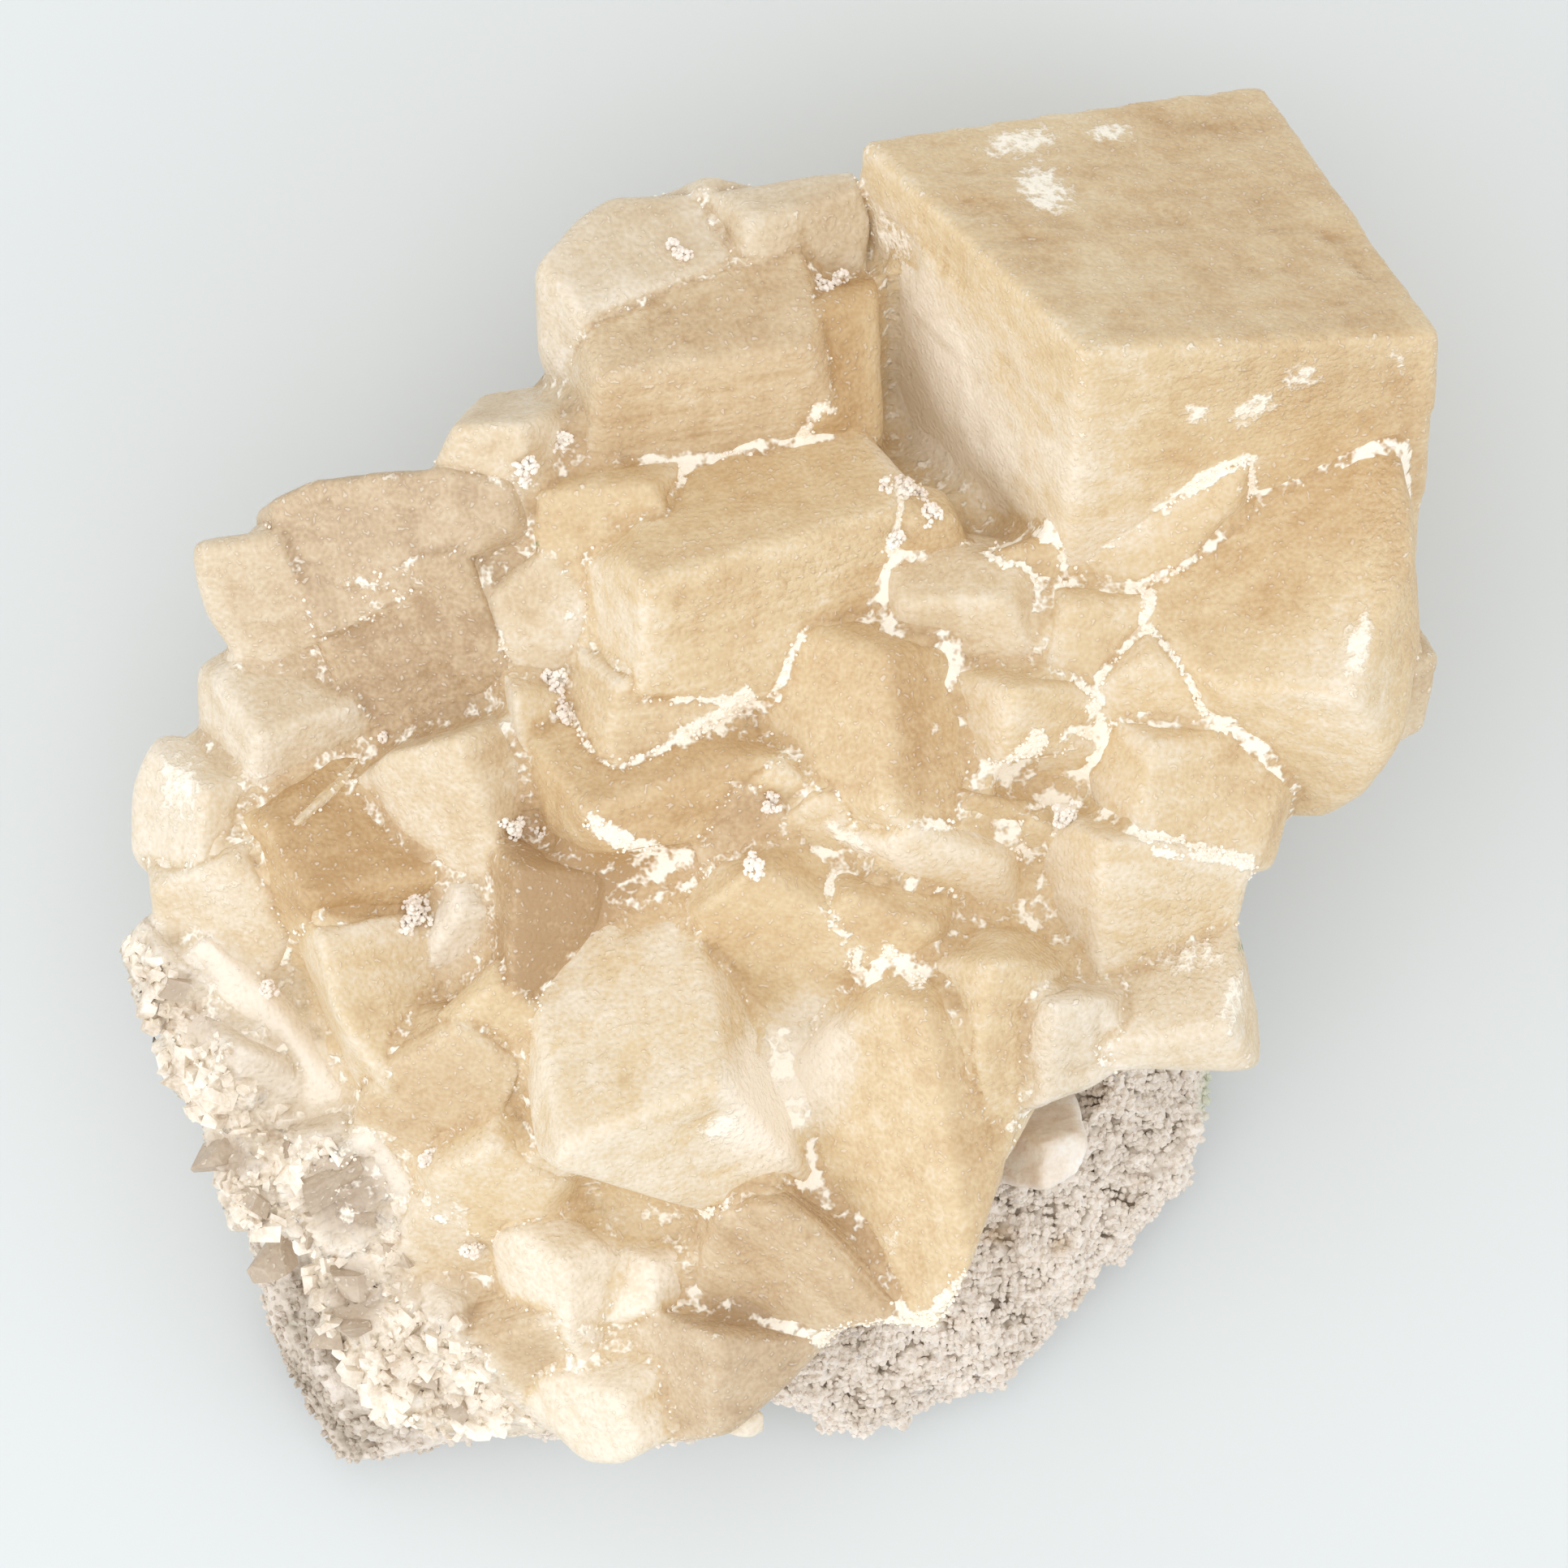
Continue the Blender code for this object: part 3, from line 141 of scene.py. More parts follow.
            [(-27.3, -6.5), (-27.3, -12), (-24.5, -19.8), (-22.2, -19), (-18.5, -13), (-12.8, -10.2),
             (-21.5, -4.6)]),
        "paleInset": ((-30, -11, 43), ((4, -0.5), (-2, -3), (0, 3)), 0.5, 0.3,
            [(-32.2, -10.5), (-31.5, -16), (-27, -15.5), (-27, -9.7)]),
        "darkAmber": ((-44.4, -10.6, 45), ((12, 1.4), (-5, 7), (-1.5, -4)), 0.9, 0.9,
            [(-49.7, -5), (-47.5, -9), (-43.7, -12.7), (-36, -12.2), (-31, -9.7), (-34, -4.5),
             (-38.6, 4.2), (-42, 1.8)]),
        "westEdge": ((-30, 4.5, 50), ((5.5, 2), (-7, -2), (2.5, -12)), 1, 0.5,
            [(-37.2, 0), (-32, -8.3), (-27.5, -9), (-24, -1.5), (-25.2, 5), (-27, 8.3)]),
        "westSquare": ((-30.3, 21.5, 55), ((4.5, -12.5), (-12.5, -6.5), (3, 4)), 1, 0.93,
            [(-43.3, 16), (-42, 10.5), (-39, 4.8), (-36, 4.8), (-26, 9), (-28.7, 20.3), (-31, 22.9)]),
        "westTop": ((-25.5, 27.8, 54), ((-18, 0.6), (-1.5, -10), (1.5, 2)), 1, 0.82,
            [(-47.4, 26), (-45, 19), (-43, 15.7), (-31, 22.3), (-29, 20.8), (-23.4, 22.7), (-23.3, 27.3),
             (-30, 28.9), (-43, 28)]),
        "westCream": ((-47, 22.5, 45), ((4.5, -10), (-7.5, -0.5), (1, 2.5)), 1, 0.62,
            [(-54.6, 22.3), (-54.5, 20), (-53.5, 16), (-50.5, 11.5), (-43, 13), (-45, 20), (-47, 23.3)]),
        "westWedge": ((-49, 4.5, 46), ((10, 2), (-4, 5), (-0.5, -6)), 1.2, 0.42,
            [(-54.2, 9), (-54.2, 5.5), (-48, -1.8), (-38.6, 4.3), (-41.3, 9.7), (-48, 12.4)]),
        "westWhite": ((-53.5, -0.5, 39), ((5, -0.5), (-5, 3), (-0.5, -7)), 0.8, 0.34,
            [(-60.5, 0), (-60.5, -4.5), (-57.5, -7.2), (-52, -6.2), (-48.7, -1), (-54, 4), (-58.3, 4.3)]),
        "westPale": ((-51, -7, 38), ((6, -5), (-7, -2), (1.5, 3)), 0.9, 0.46,
            [(-59, -8), (-58.3, -13), (-49, -18.8), (-47.3, -17), (-45, -11.3), (-49.5, -5.3), (-52, -5)]),
        "southWest": ((-44.5, -14, 46), ((12, -1), (-2.5, 2), (6, -15.5)), 1.2, 0.42,
            [(-47.5, -11.8), (-45.3, -22.3), (-38.2, -31.2), (-34.8, -22), (-31.8, -16), (-36, -11.8)]),
        "southWestLow": ((-30, -22.5, 48), ((5, -3.5), (-6, -4), (1, 4)), 1.2, 0.66,
            [(-35.2, -22), (-38.2, -31.2), (-32, -33.5), (-26, -30.7), (-24.3, -25), (-29.5, -20.8)]),
        "brownGusset": ((-27, -18.5, 43), ((5, -2.5), (-4, -2.5), (0, 3)), 0.5, 0.6,
            [(-31.3, -21), (-24, -26.5), (-21.8, -20), (-26.5, -16.8)]),
        "southShade": ((-27, -33.5, 46), ((5.5, -3), (-5.5, -1.5), (0, 4)), 1, 0.5,
            [(-33.3, -35.5), (-31, -41.3), (-26, -42.2), (-20.5, -38.5), (-20.5, -34), (-25.5, -30.3),
             (-31, -31.7)]),
    },
    "lowerCrystals": {
        "southCream": ((-31, -38, 40), ((3.5, -3), (-4, -2), (0.5, 3)), 0.8, 0.5,
            [(-35.3, -38), (-35.3, -46.5), (-28, -46.5), (-28, -42), (-33, -35.8)]),
        "whiteUpper": ((-20.3, -44.5, 47), ((4.5, 2), (-5, 2.5), (1, -6)), 0.7, 0.18,
            [(-25.8, -42.5), (-23.7, -48.2), (-18, -52.2), (-15.3, -46), (-17, -42.8), (-21, -39.4)]),
        "whiteSide": ((-12, -44, 43), ((3.5, 0.5), (-3.5, 1), (0, -5)), 0.7, 0.16,
            [(-15.3, -41.8), (-15.7, -48.3), (-10, -48.5), (-8.7, -43)]),
        "whiteLower": ((-15.3, -57, 38), ((5.5, 2.5), (-8, 1), (1.5, -6)), 0.7, 0.24,
            [(-15, -51.2), (-24.3, -57.7), (-18, -63), (-15, -63), (-10.4, -60.3), (-9.8, -55.5)]),
        "stripedSlab": ((-20, -49.5, 40), ((4, -2), (-9, -2), (1, 3)), 0.6, 0.7,
            [(-30.3, -48.5), (-27, -55.5), (-23, -58.5), (-15.5, -51), (-19, -49.5)]),
        "tanLow": ((-6, -51, 37), ((8, -0.6), (-8, 1.5), (-1, -9)), 1, 0.76,
            [(-15.3, -50.5), (-10.3, -61), (-5, -60), (2.5, -53), (3, -50.8), (-5, -48.5)]),
        "westGapFill": ((-46, -1, 35), ((4, 3), (-3, -2), (2, -3)), 0.6, 0.45,
            [(-51, -6), (-49, -1.5), (-40, 5), (-38.6, 3.6), (-47, -6)]),
        "ledgeUpper": ((-54, -13.6, 37), ((12, -14), (-5, -4), (1.5, 1.2)), 0.5, 0,
            [(-55.5, -13.3), (-57, -18), (-50, -23), (-44, -31), (-40, -31), (-39.6, -28.5), (-45, -22)]),
        "ledgeLower": ((-39.5, -29.5, 37), ((5, -8), (-5, -3.5), (1.2, 1)), 0.5, 0,
            [(-40, -28.5), (-45, -31.5), (-40, -39), (-34.8, -38.3)]),
        "brokenRim": ((-56.5, -15, 31), ((5, -3), (-4, 3.4), (-2, -6)), 0.5, 0.3,
            [(-61, -15), (-60, -20), (-56, -26), (-49, -22), (-55, -13), (-58, -10.5)]),
        "brokenMid": ((-51.5, -24, 28), ((6, -3), (-3, 2), (-2, -7)), 0.5, 0.3,
            [(-57.5, -26), (-53, -33), (-45, -31), (-47, -24), (-52, -20)]),
        "brokenFace": ((-41.5, -34, 32), ((5, -4), (-4, -1), (-0.5, 5)), 0.5, 0.5,
            [(-46.5, -34), (-46.5, -42), (-41, -45), (-34.8, -43), (-34.8, -38), (-41, -31)]),
        "brokenStep": ((-49, -34, 25), ((4, -1.2), (-3, 1.6), (-1, -6)), 0.5, 0.45,
            [(-53, -34), (-50.5, -41), (-46, -41), (-45, -32)]),
        "brokenDark": ((-39.5, -46.5, 28), ((5, -1.5), (-3, -1), (0.5, 4)), 0.5, 0.6,
            [(-43.5, -47), (-41, -54), (-36, -52), (-34.8, -44), (-40, -44)]),
        "brokenFoot": ((-32, -51, 29), ((6, -2.5), (-4, -1), (0.5, 4)), 0.6, 0.3,
            [(-38.5, -52), (-38, -59.5), (-31, -61), (-24, -59), (-27, -54), (-30, -48), (-35, -46)]),
    },
}
freeTable = {
    "giant": ((27.5, 39.8, 75), ((33.5, 1.6), (-20.7, 20), (-2.2, -26)), 0.7, 0.5, "giantCrystal"),
    "rightBack": ((56, 10, 44), ((5, 2.2), (-1.5, -7.5), (-3, 4)), 0.5, 0.6, "eastCrystals"),
    "topPeek": ((-7.5, 54.8, 45), ((6.5, -1.8), (-6.5, -3), (0.3, 2)), 0.6, 0.45, "topCrystals"),
    "whiteLump": ((-3.6, -59, 26), ((2.2, 0.6), (-2.2, 0.6), (0.2, -2.4)), 0.4, 0.1, "lowerCrystals"),
}

crystalForm = {
    "faceCosine": 0.206,     # calcite's face angle is 101.9 degrees where blunt
    "lap": 0.45,             # mm that a crystal runs past its seam
    "lean": 0.05,            # how far its sides draw in for each mm of depth
    "depth": (15, 26),       # mm below the corner, small ones least
    "lowest": 11,            # mm above the shelf
    "farShift": (4.3, 4.2),  # the giant's far edge stands out further
    "lineSlack": 0.14,       # radians that an edge may lie off its line in the plan
    "deepestSeam": 12.0,     # mm
    "heightSlack": 8.0,      # how freely a crystal leaves its height in the table
    "seamPull": 3.0,         # how strongly neighbours are drawn to meet at their seams
    "settleSteps": (0.2, 0.2, 0.1, 0.1, 0.05, 0.05, 0.025, 0.025),
    "settleTries": 3,
    "lift": 12,              # mm that it rises for each radian that it may turn
    "near": 1.5,             # mm from a crystal's seams that still touch it
    "margin": 4.0,           # mm of block around its seams before they are cut
    "headroom": 12.0,        # and above its corner
    "beyond": 2.0,           # mm outside a seam, where a neighbour is looked for
    "spread": 0.4,           # how far its sides spread under a neighbour, per mm of depth
    "skirt": 1.8,            # and where that ends
    "voxel": {"giantCrystal": 0.64, "others": 0.53},    # mm, fine enough for a worn edge
    "soften": 1,             # rounds of smoothing after the remesh
    "wear": 5,               # and on the ridges, which are rounded by etching
    "waves": [(7, 0.30, 2), (1.6, 0.14, 1)],    # faces are never quite flat: size and relief in mm, octaves
    "blocks": ((9.0, 0.35, 0.36, 1.4), (3.6, 0.25, 0.30, 1.9), (1.5, 0.12, 0.16, 1.0)),
    "ragged": [(3.0, 2.2, {"noise_depth": 2}), (1.1, 1.1, {"noise_depth": 1, "noise_type": "HARD_NOISE"})],
    "sideTint": 0.08,        # painted shade: faces towards the upper right, away from the key light, are painted that much darker
    "topTint": 0.06,         # and painted shade on faces that lie flat
    "ridge": 0.12,           # mm that a full ridge stands out before it is worn
    "bend": 0.15,            # and a full edge after, or a full hollow lies in
    "grainStart": 90,        # mm, so that no two crystals share their veils
    "rimRounds": 14,         # how far the pale rim along a seam, a painted glow of light inside, reaches, in rounds of blending
    "tintRounds": 8,         # and how far one crystal's tint runs into the next
}

crustForm = {
    "seam": 0.52,            # how much crust any seam carries
    "from": 20, "full": 30,  # mm above the shelf, between which that begins
    "reach": 1.1,            # mm, seams with their neighbour further off carry none
    "wander": 2.2,           # mm that a crust may leave its line in the list below
    "lineFrom": 28,          # mm above the shelf, the lowest place of such a line
    "core": 1.6,             # how far it stays full before it thins out
    "most": 1.15, "gap": (0.35, 0.65),    # mm of gap that it bridges, and more for each mm of half width
    "pocket": 0.85,          # how full the pockets are
    "least": 0.36,           # and where the first raised grains stand
}

fitForm = {    # how a calcite corner is laid on its three edges seen from above
    "rounds": 80, "falls": (0.3, 60.0),      # mm that an edge may fall
    "missCost": 3.0,         # of wrong face angles, against unequal edges
    "leastFall": 0.05, "riseCost": 60,       # an edge that rises is no corner's
    "leanFree": 0.25, "leanSlack": 0.35, "leanCost": 1.5,    # radians that a wide face may lean
    "turns": (0.3, 0.01),    # radians, the first and the last
}

pairs = ((0, 1), (1, 2), (2, 0))
cornerSigns = ((-1, -1, -1), (-1, 1, 1), (1, -1, 1), (1, 1, -1))    # all face angles blunt, or one

crustLines = [    # white crust in the seams: half width in mm, then the line seen from above
    (0.5, [(20, 21.2), (28, 25), (35, 28.2), (43, 29.5)]),
    (0.8, [(33, 17.5), (38, 21.5), (43.5, 28.5), (48, 31.5), (52, 32.7), (57, 30), (57.2, 26)]),
    (0.5, [(10.3, 29), (10.2, 18), (9.5, 15), (13, 12.3), (16, 10.5)]),
    (0.6, [(-9, 9.3), (-3, 9.2), (1, 12)]),
    (0.6, [(33.5, 17), (33.8, 13), (28.5, 7.8), (29, 3), (25, -2.5)]),
    (0.4, [(33.8, 13), (36.5, 9.7), (40.3, 6), (45, -1)]),
    (0.4, [(28.5, 7.8), (34, 5.3)]),
    (0.4, [(30, 0), (35.5, -6.2), (43, -6.5)]),
    (0.4, [(15.5, -4), (22, -8)]),
    (0.5, [(3, -8), (11, -10), (18, -12)]),
    (0.8, [(8, -17), (4, -22.5), (-1.5, -24.5), (2.3, -30), (1.5, -36), (-7, -38.5)]),
    (0.6, [(1, -38.5), (5, -42.5)]),
    (0.6, [(-12.5, 28.5), (-5, 31), (3, 33)]),
    (0.5, [(-19, 5), (-12, 2)]),
    (0.4, [(17, 18), (24, 18.5), (26, 12), (30, 16.5)]),
    (0.5, [(14.5, -48.5), (6, -51.5), (-4, -49), (-9, -43)]),
]

crustPockets = [    # and where it fills a pocket: the same
    (1.0, [(-9.5, 4.2), (-6.5, 5.6), (-3.6, 8)]),
    (1.0, [(17.6, 1.4), (20.5, 1.2), (23.4, 4)]),
    (0.8, [(21, -4.5), (22.5, -7)]),
    (0.9, [(9.6, -15.5), (12.5, -18)]),
    (0.9, [(-17.5, -3.6), (-14, -5.8), (-9.5, -6.6)]),
    (0.8, [(-13.6, -7.0), (-9, -9.4)]),
    (1.1, [(4, -51.5), (14, -49.5), (17, -46)]),
]

druseTufts = [    # grey white tufts that grow in the gaps: x, y, radius in mm
    (3.8, 46.2, 1.5), (9.8, 31.3, 1.2), (11.5, 27.3, 1.4), (13.5, 25.3, 1.0), (-20.7, 9.2, 1.3), (-20.5, 7, 1.2),
    (-34.2, -11, 1.3), (-34.5, -13, 1.3), (-25, -4, 1.1), (-22.8, -3.7, 1.1), (-9, 49, 1.0), (-23.5, 29, 1.1),
    (-27, 19, 1.0), (-37, 3.5, 0.9), (-33, -34.5, 0.9), (-29, -43, 0.9), (-20.5, 32, 0.9), (-22.5, 38.3, 0.9),
    (-48, -19, 0.9), (26, -3, 1.2), (10.5, 22.5, 0.8), (-1, -2, 0.9), (-3, -7.5, 0.9),
]

chalkSpots = [    # white fibrous patches and chips: x, y, half length, half width in mm, turn in degrees, strength
    (22, 59.5, 4.5, 1.6, 10, 0.9), (30, 60.5, 2.6, 1.2, 5, 0.8), (24, 55, 3.6, 2.6, -35, 0.9),
    (6.2, 58.4, 2.2, 1.4, 40, 1.0), (10, 50.5, 1.6, 4.2, 35, 0.8),
    (38, 34, 1.6, 1.2, 0, 0.9), (43.2, 34.5, 2.6, 1.3, 35, 1.0), (47.5, 37.5, 2.4, 1.5, 20, 0.8),
    (53, 13, 1.6, 3.8, -10, 1.0), (6, -5, 3.2, 1.1, -30, 0.9), (-5.8, -31.8, 2.4, 1.6, 20, 0.9),
    (56.5, 39, 1.0, 2.6, 20, 0.6), (-56, 0, 3, 5, 0, 0.7), (38, -16, 4, 2.4, 10, 0.7), (41.5, -20, 1.4, 4, -10, 0.8),
    (-52, -10, 4, 3, -30, 0.4), (10, -42, 1, 4, -15, 0.5), (14, 5, 0.7, 0.7, 0, 0.7), (-49, 1, 2, 2.5, 0, 0.5),
]

tintAndPaintedLightZones = [    # deeper or paler zones inside the crystals, with painted light among them that pales the giant's left face and lifts the shade at its foot: as above, with how much darker
    (46, 34, 14, 7, 5, 0.14), (12, -5, 8, 3, -10, -0.12), (50, 24, 6, 5, 0, 0.06),
    (46, 50, 18, 12, -50, 0.14), (13, 36, 13, 6, -72, -0.6), (21, 51, 9, 6, -40, 0.14), (36, 52, 18, 10, -10, 0.07),
    (34, 31, 7, 4, 0, 0.08), (30, 28, 5, 9, 0, -0.12), (58, 36, 4, 12, 0, 0.12),
    (40, 62, 22, 3, 5, 0.1), (50, 8, 8, 6, -20, -0.2), (53, 14, 4, 8, -10, -0.12), (-16, 14, 5, 6, 0, -0.2),
    (21.5, 30.5, 7, 5, -50, -0.2), (-27, -43, 7, 7, 0, 0.1), (-40, -20, 8, 6, 0, 0.06),
    (12, 5, 2.5, 8, 10, 0.15), (-22, 36, 4, 5, 0, -0.2), (-2, 37, 12, 4, 5, -0.08), (0.5, -27, 5, 8, -30, -0.8),
    (20, -30, 4, 14, -10, 0.14), (36, -14, 5, 5, 0, 0.12), (-43, -11, 6, 2.5, 20, 0.12), (-3, -1, 8, 3, 0, 0.1),
]

rippleZones = [    # faces that are etched into small ripples: as above
    (47, 37, 13, 5, 0, 1.0), (2, 20, 14, 3.5, 20, 0.9), (56, 20, 3, 14, 10, 0.8), (37, -14, 6, 8, -20, 0.9),
    (-16, 40, 8, 6, 0, 0.4), (-2, -28, 9, 8, 0, 0.4), (22, -26, 6, 12, 0, 0.5), (45, 57, 10, 5, 0, 0.3),
]

brokenLine = [    # the broken calcite at the lower left, seen from above
    (-63, -13), (-58, -15.5), (-54.5, -19.5), (-50.5, -27), (-44, -32.5), (-38, -34), (-36, -38), (-35.5, -47),
    (-29, -52), (-26, -57), (-21, -62), (-42, -68), (-66, -40),
]

smokySpots = [    # grey brown where it broke clear through
    (-40.7, -38, 5.5, 5, -30, 1.0), (-51.5, -34.5, 3.4, 2.6, -30, 0.9), (-40, -48, 3.5, 4.5, 0, 1.0),
    (-54.5, -22, 3.5, 4, 0, 0.6), (-33, -55, 3, 2.5, 0, 0.4), (-47, -43, 2, 3, 20, 0.6),
]

smokyRemnants = [    # what stands there still: x, y, size in mm
    (-41.8, -36.2, 6.5), (-38.6, -39.4, 6.0), (-43.6, -40.6, 5.0), (-51.6, -34.4, 6.0), (-40.4, -46.2, 5.5),
    (-39.2, -50.2, 6.5), (-54.6, -21.6, 5.0), (-47.2, -43.4, 4.5), (-49.5, -38.5, 4.0), (-42.2, -51.6, 4.5),
    (-33.4, -54.8, 5.0), (-36.6, -42.6, 5.0), (-56.8, -18.6, 4.0), (-45.6, -34.6, 4.0), (-30.2, -57.6, 4.5),
]

greenSpots = [    # copper green: the same
    (-22.7, 22.2, 0.8, 0.4, 10, 1.0), (-27.6, 21.2, 0.5, 0.3, 0, 0.6), (42.3, -15, 0.7, 2.5, 0, 0.7),
]

greyCrystals = {    # less honey than the others, by how much
    "topLeft": 0.55, "topRough": 0.5, "westSquare": 0.5, "brownWest": 0.3, "southStriped": 0.4, "topCentre": 0.3,
    "underCentre": 0.1, "southWestLow": 0.2, "brownFan": 0.3, "eastUpper": 0.3, "westEdge": 0.3, "topPeek": 0.5,
    "westCream": 0.55, "westWedge": 0.5, "westTop": 0.6, "westWhite": 0.3, "westPale": 0.3, "smallRhomb": 0.4,
    "shoulder": 0.4, "rightBack": 0.4, "brokenRim": 0.8,
    "brokenMid": 0.9, "brokenFace": 0.9, "brokenStep": 0.9, "brokenDark": 0.9, "brokenFoot": 0.7,
    "ledgeUpper": 0.3, "ledgeLower": 0.3, "stripedSlab": 0.4, "eastFoot": 0.3, "eastShade": 0.5, "tanLow": 0.6,
    "paleInset": 0.6, "southCream": 0.3,
}

stripedCrystals = {"southStriped": 1.0, "stripedSlab": 1.0, "underCentre": 0.8, "southWestLow": 0.7, "topCentre": 0.5,
                   "brownWest": 0.6, "westSquare": 0.4, "centreBig": 0.35, "slot": 0.6}


def settle(name):
    piece = bpy.context.object
    piece.name = name
    piece.data.name = name
    return piece


def selectOnly(pieces):
    bpy.ops.object.select_all(action="DESELECT")
    for piece in pieces:
        piece.select_set(True)
    bpy.context.view_layer.objects.active = pieces[0]


def faceOutward():    # in edit mode
    bpy.ops.mesh.select_all(action="SELECT")
    bpy.ops.mesh.normals_make_consistent(inside=False)


def nextOf(line):    # a closed line's points, each with the one after it
    return zip(line, line[1:] + line[:1])


def edgeDrops(plan):    # how far each edge of a calcite corner falls, from the three edges seen from above
    cosine = crystalForm["faceCosine"]
    least, most = fitForm["falls"]
    flat = [Vector((*edge, 0.0)) for edge in plan]
    best = None
    for signs in cornerSigns:
        drop = [edge.length for edge in flat]
        for _ in range(fitForm["rounds"]):
            long = [math.hypot(edge.length, fall) for edge, fall in zip(flat, drop)]
            ab, bc, ca = (max(sign * cosine * long[i] * long[j] - flat[i].dot(flat[j]), 0.5)
                          for sign, (i, j) in zip(signs, pairs))
            aim = (math.sqrt(ab * ca / bc), math.sqrt(ab * bc / ca), math.sqrt(bc * ca / ab))
            drop = [0.5 * old + 0.5 * min(max(new, least), most) for old, new in zip(drop, aim)]
        edges = [edge - Vector((0, 0, fall)) for edge, fall in zip(flat, drop)]
        spread = [edge.length for edge in edges]
        miss = sum(abs(edges[i].dot(edges[j]) / spread[i] / spread[j] - sign * cosine)
                   for sign, (i, j) in zip(signs, pairs))
        score = fitForm["missCost"] * miss + math.log(max(spread) / min(spread))
        if best is None or score < best[0]:
            best = (score, edges)
    return best[1]


def cornerKinds():    # calcite's corners as three unit edges, each in both hands
    for signs in cornerSigns:
        ab, bc, ca = (sign * crystalForm["faceCosine"] for sign in signs)
        bSide = math.sqrt(1 - ab * ab)
        cSide = (bc - ca * ab) / bSide
        cUp = math.sqrt(1 - ca * ca - cSide * cSide)
        for hand in (1, -1):
            yield [Vector((1, 0, 0)), Vector((ab, bSide, 0)), Vector((ca, cSide, hand * cUp))]


def smallTurns(angle):    # either way round each axis
    return [Quaternion(axis, angle * sign) for axis in ((1, 0, 0), (0, 1, 0), (0, 0, 1)) for sign in (1, -1)]


def misfit(edges, plan):    # edges off their lines, edges that rise, wide faces that are steep
    plan = [Vector(seen) for seen in plan]
    total = sum(seen.length for seen in plan)
    area = sum(abs(plan[i].cross(plan[j])) for i, j in pairs)
    cost = 0.0
    for edge, seen in zip(edges, plan):
        cost += max(0.0, edge.z + fitForm["leastFall"]) * fitForm["riseCost"]
        flat = edge.xy
        if flat.length > 1e-4:
            off = flat.angle(seen) / crystalForm["lineSlack"]
            cost += seen.length / total * min(1.0, flat.length * 2) * off ** 2
    for i, j in pairs:
        normal = edges[i].cross(edges[j]).normalized()
        steep = max(0.0, math.acos(min(1.0, abs(normal.z))) - fitForm["leanFree"])
        cost += fitForm["leanCost"] * abs(plan[i].cross(plan[j])) / area * (steep / fitForm["leanSlack"]) ** 2
    return cost


def turned(kind, pair, aims):    # so that a pair of its edges lies along two aims
    def basis(one, two):
        across = one.cross(two).normalized()
        return Matrix((one.normalized(), across, one.cross(across).normalized())).transposed()
    turn = basis(aims[pair[0]], aims[pair[1]]) @ basis(kind[pair[0]], kind[pair[1]]).transposed()
    return [turn @ edge for edge in kind]


def cornerEdges(plan):    # the true calcite corner that fits its plan best
    plan = [Vector(edge) for edge in plan]
    longest = max(edge.length for edge in plan)
    aims = [Vector((*edge, -max(0.25 * longest, longest - edge.length))).normalized() for edge in plan]
    best = None
    for kind in cornerKinds():
        for pair in pairs:
            edges = turned(kind, pair, aims)
            cost = misfit(edges, plan)
            step, finest = fitForm["turns"]
            while step > finest:
                trials = [[turn @ edge for edge in edges] for turn in smallTurns(step)]
                least, trial = min((misfit(tried, plan), number) for number, tried in enumerate(trials))
                if least < cost - 1e-6:
                    cost, edges = least, trials[trial]
                else:
                    step *= 0.5
            if best is None or cost < best[0]:
                best = (cost, edges)
    return best[1]


def facesOf(edges):    # outward: each normal points away from the edge that its face lacks
    faces = []
    for i, j in pairs:
        normal = edges[i].cross(edges[j]).normalized()
        faces.append(-normal if normal.dot(edges[3 - i - j]) > 0 else normal)
    return faces


def depthBelow(corner, normals, x, y):    # how far the faces lie below the corner at a place
    falls = [(normal.x * (x - corner[0]) + normal.y * (y - corner[1])) / max(normal.z, 0.05)
             for normal in normals]
    return min(max(falls), crystalForm["deepestSeam"])


def touches(seams, x, y):    # inside a crystal's seams, or within a hair of them
    inside = False
    spot = Vector((x, y))
    for start, end in nextOf(seams):
        start, along = Vector(start), Vector(end) - Vector(start)
        share = min(max((spot - start).dot(along) / along.length_squared, 0.0), 1.0)
        if (spot - start - share * along).length < crystalForm["near"]:
            return True
        if (start.y > y) != (start.y + along.y > y) and x < start.x + along.x * (y - start.y) / along.y:
            inside = not inside
    return inside


def seamMeetings(table):    # for each crystal, the places along the seams where it meets another, and which
    meetings = {name: [] for name in table}
    for name, row in table.items():
        seams = row[4]
        halfway = [((a[0] + b[0]) / 2, (a[1] + b[1]) / 2) for a, b in nextOf(seams)]
        for x, y in seams + halfway:
            for other, theirs in table.items():
                if other != name and touches(theirs[4], x, y):
                    meetings[name].append((x, y, other))
                    meetings[other].append((x, y, name))
    return meetings


def strain(row, edges, top, beside):    # how badly a crystal fits, turned and raised like this
    corner, plan = row[:2]
    faces = facesOf(edges)
    steps = [top - depthBelow(corner, faces, x, y) - theirs for x, y, theirs in beside]
    uneven = sum(math.sqrt(1 + step * step) - 1 for step in steps) / max(len(steps), 1)
    high = (top - corner[2]) / crystalForm["heightSlack"]
    return misfit(edges, plan) + crystalForm["seamPull"] * uneven + high ** 2


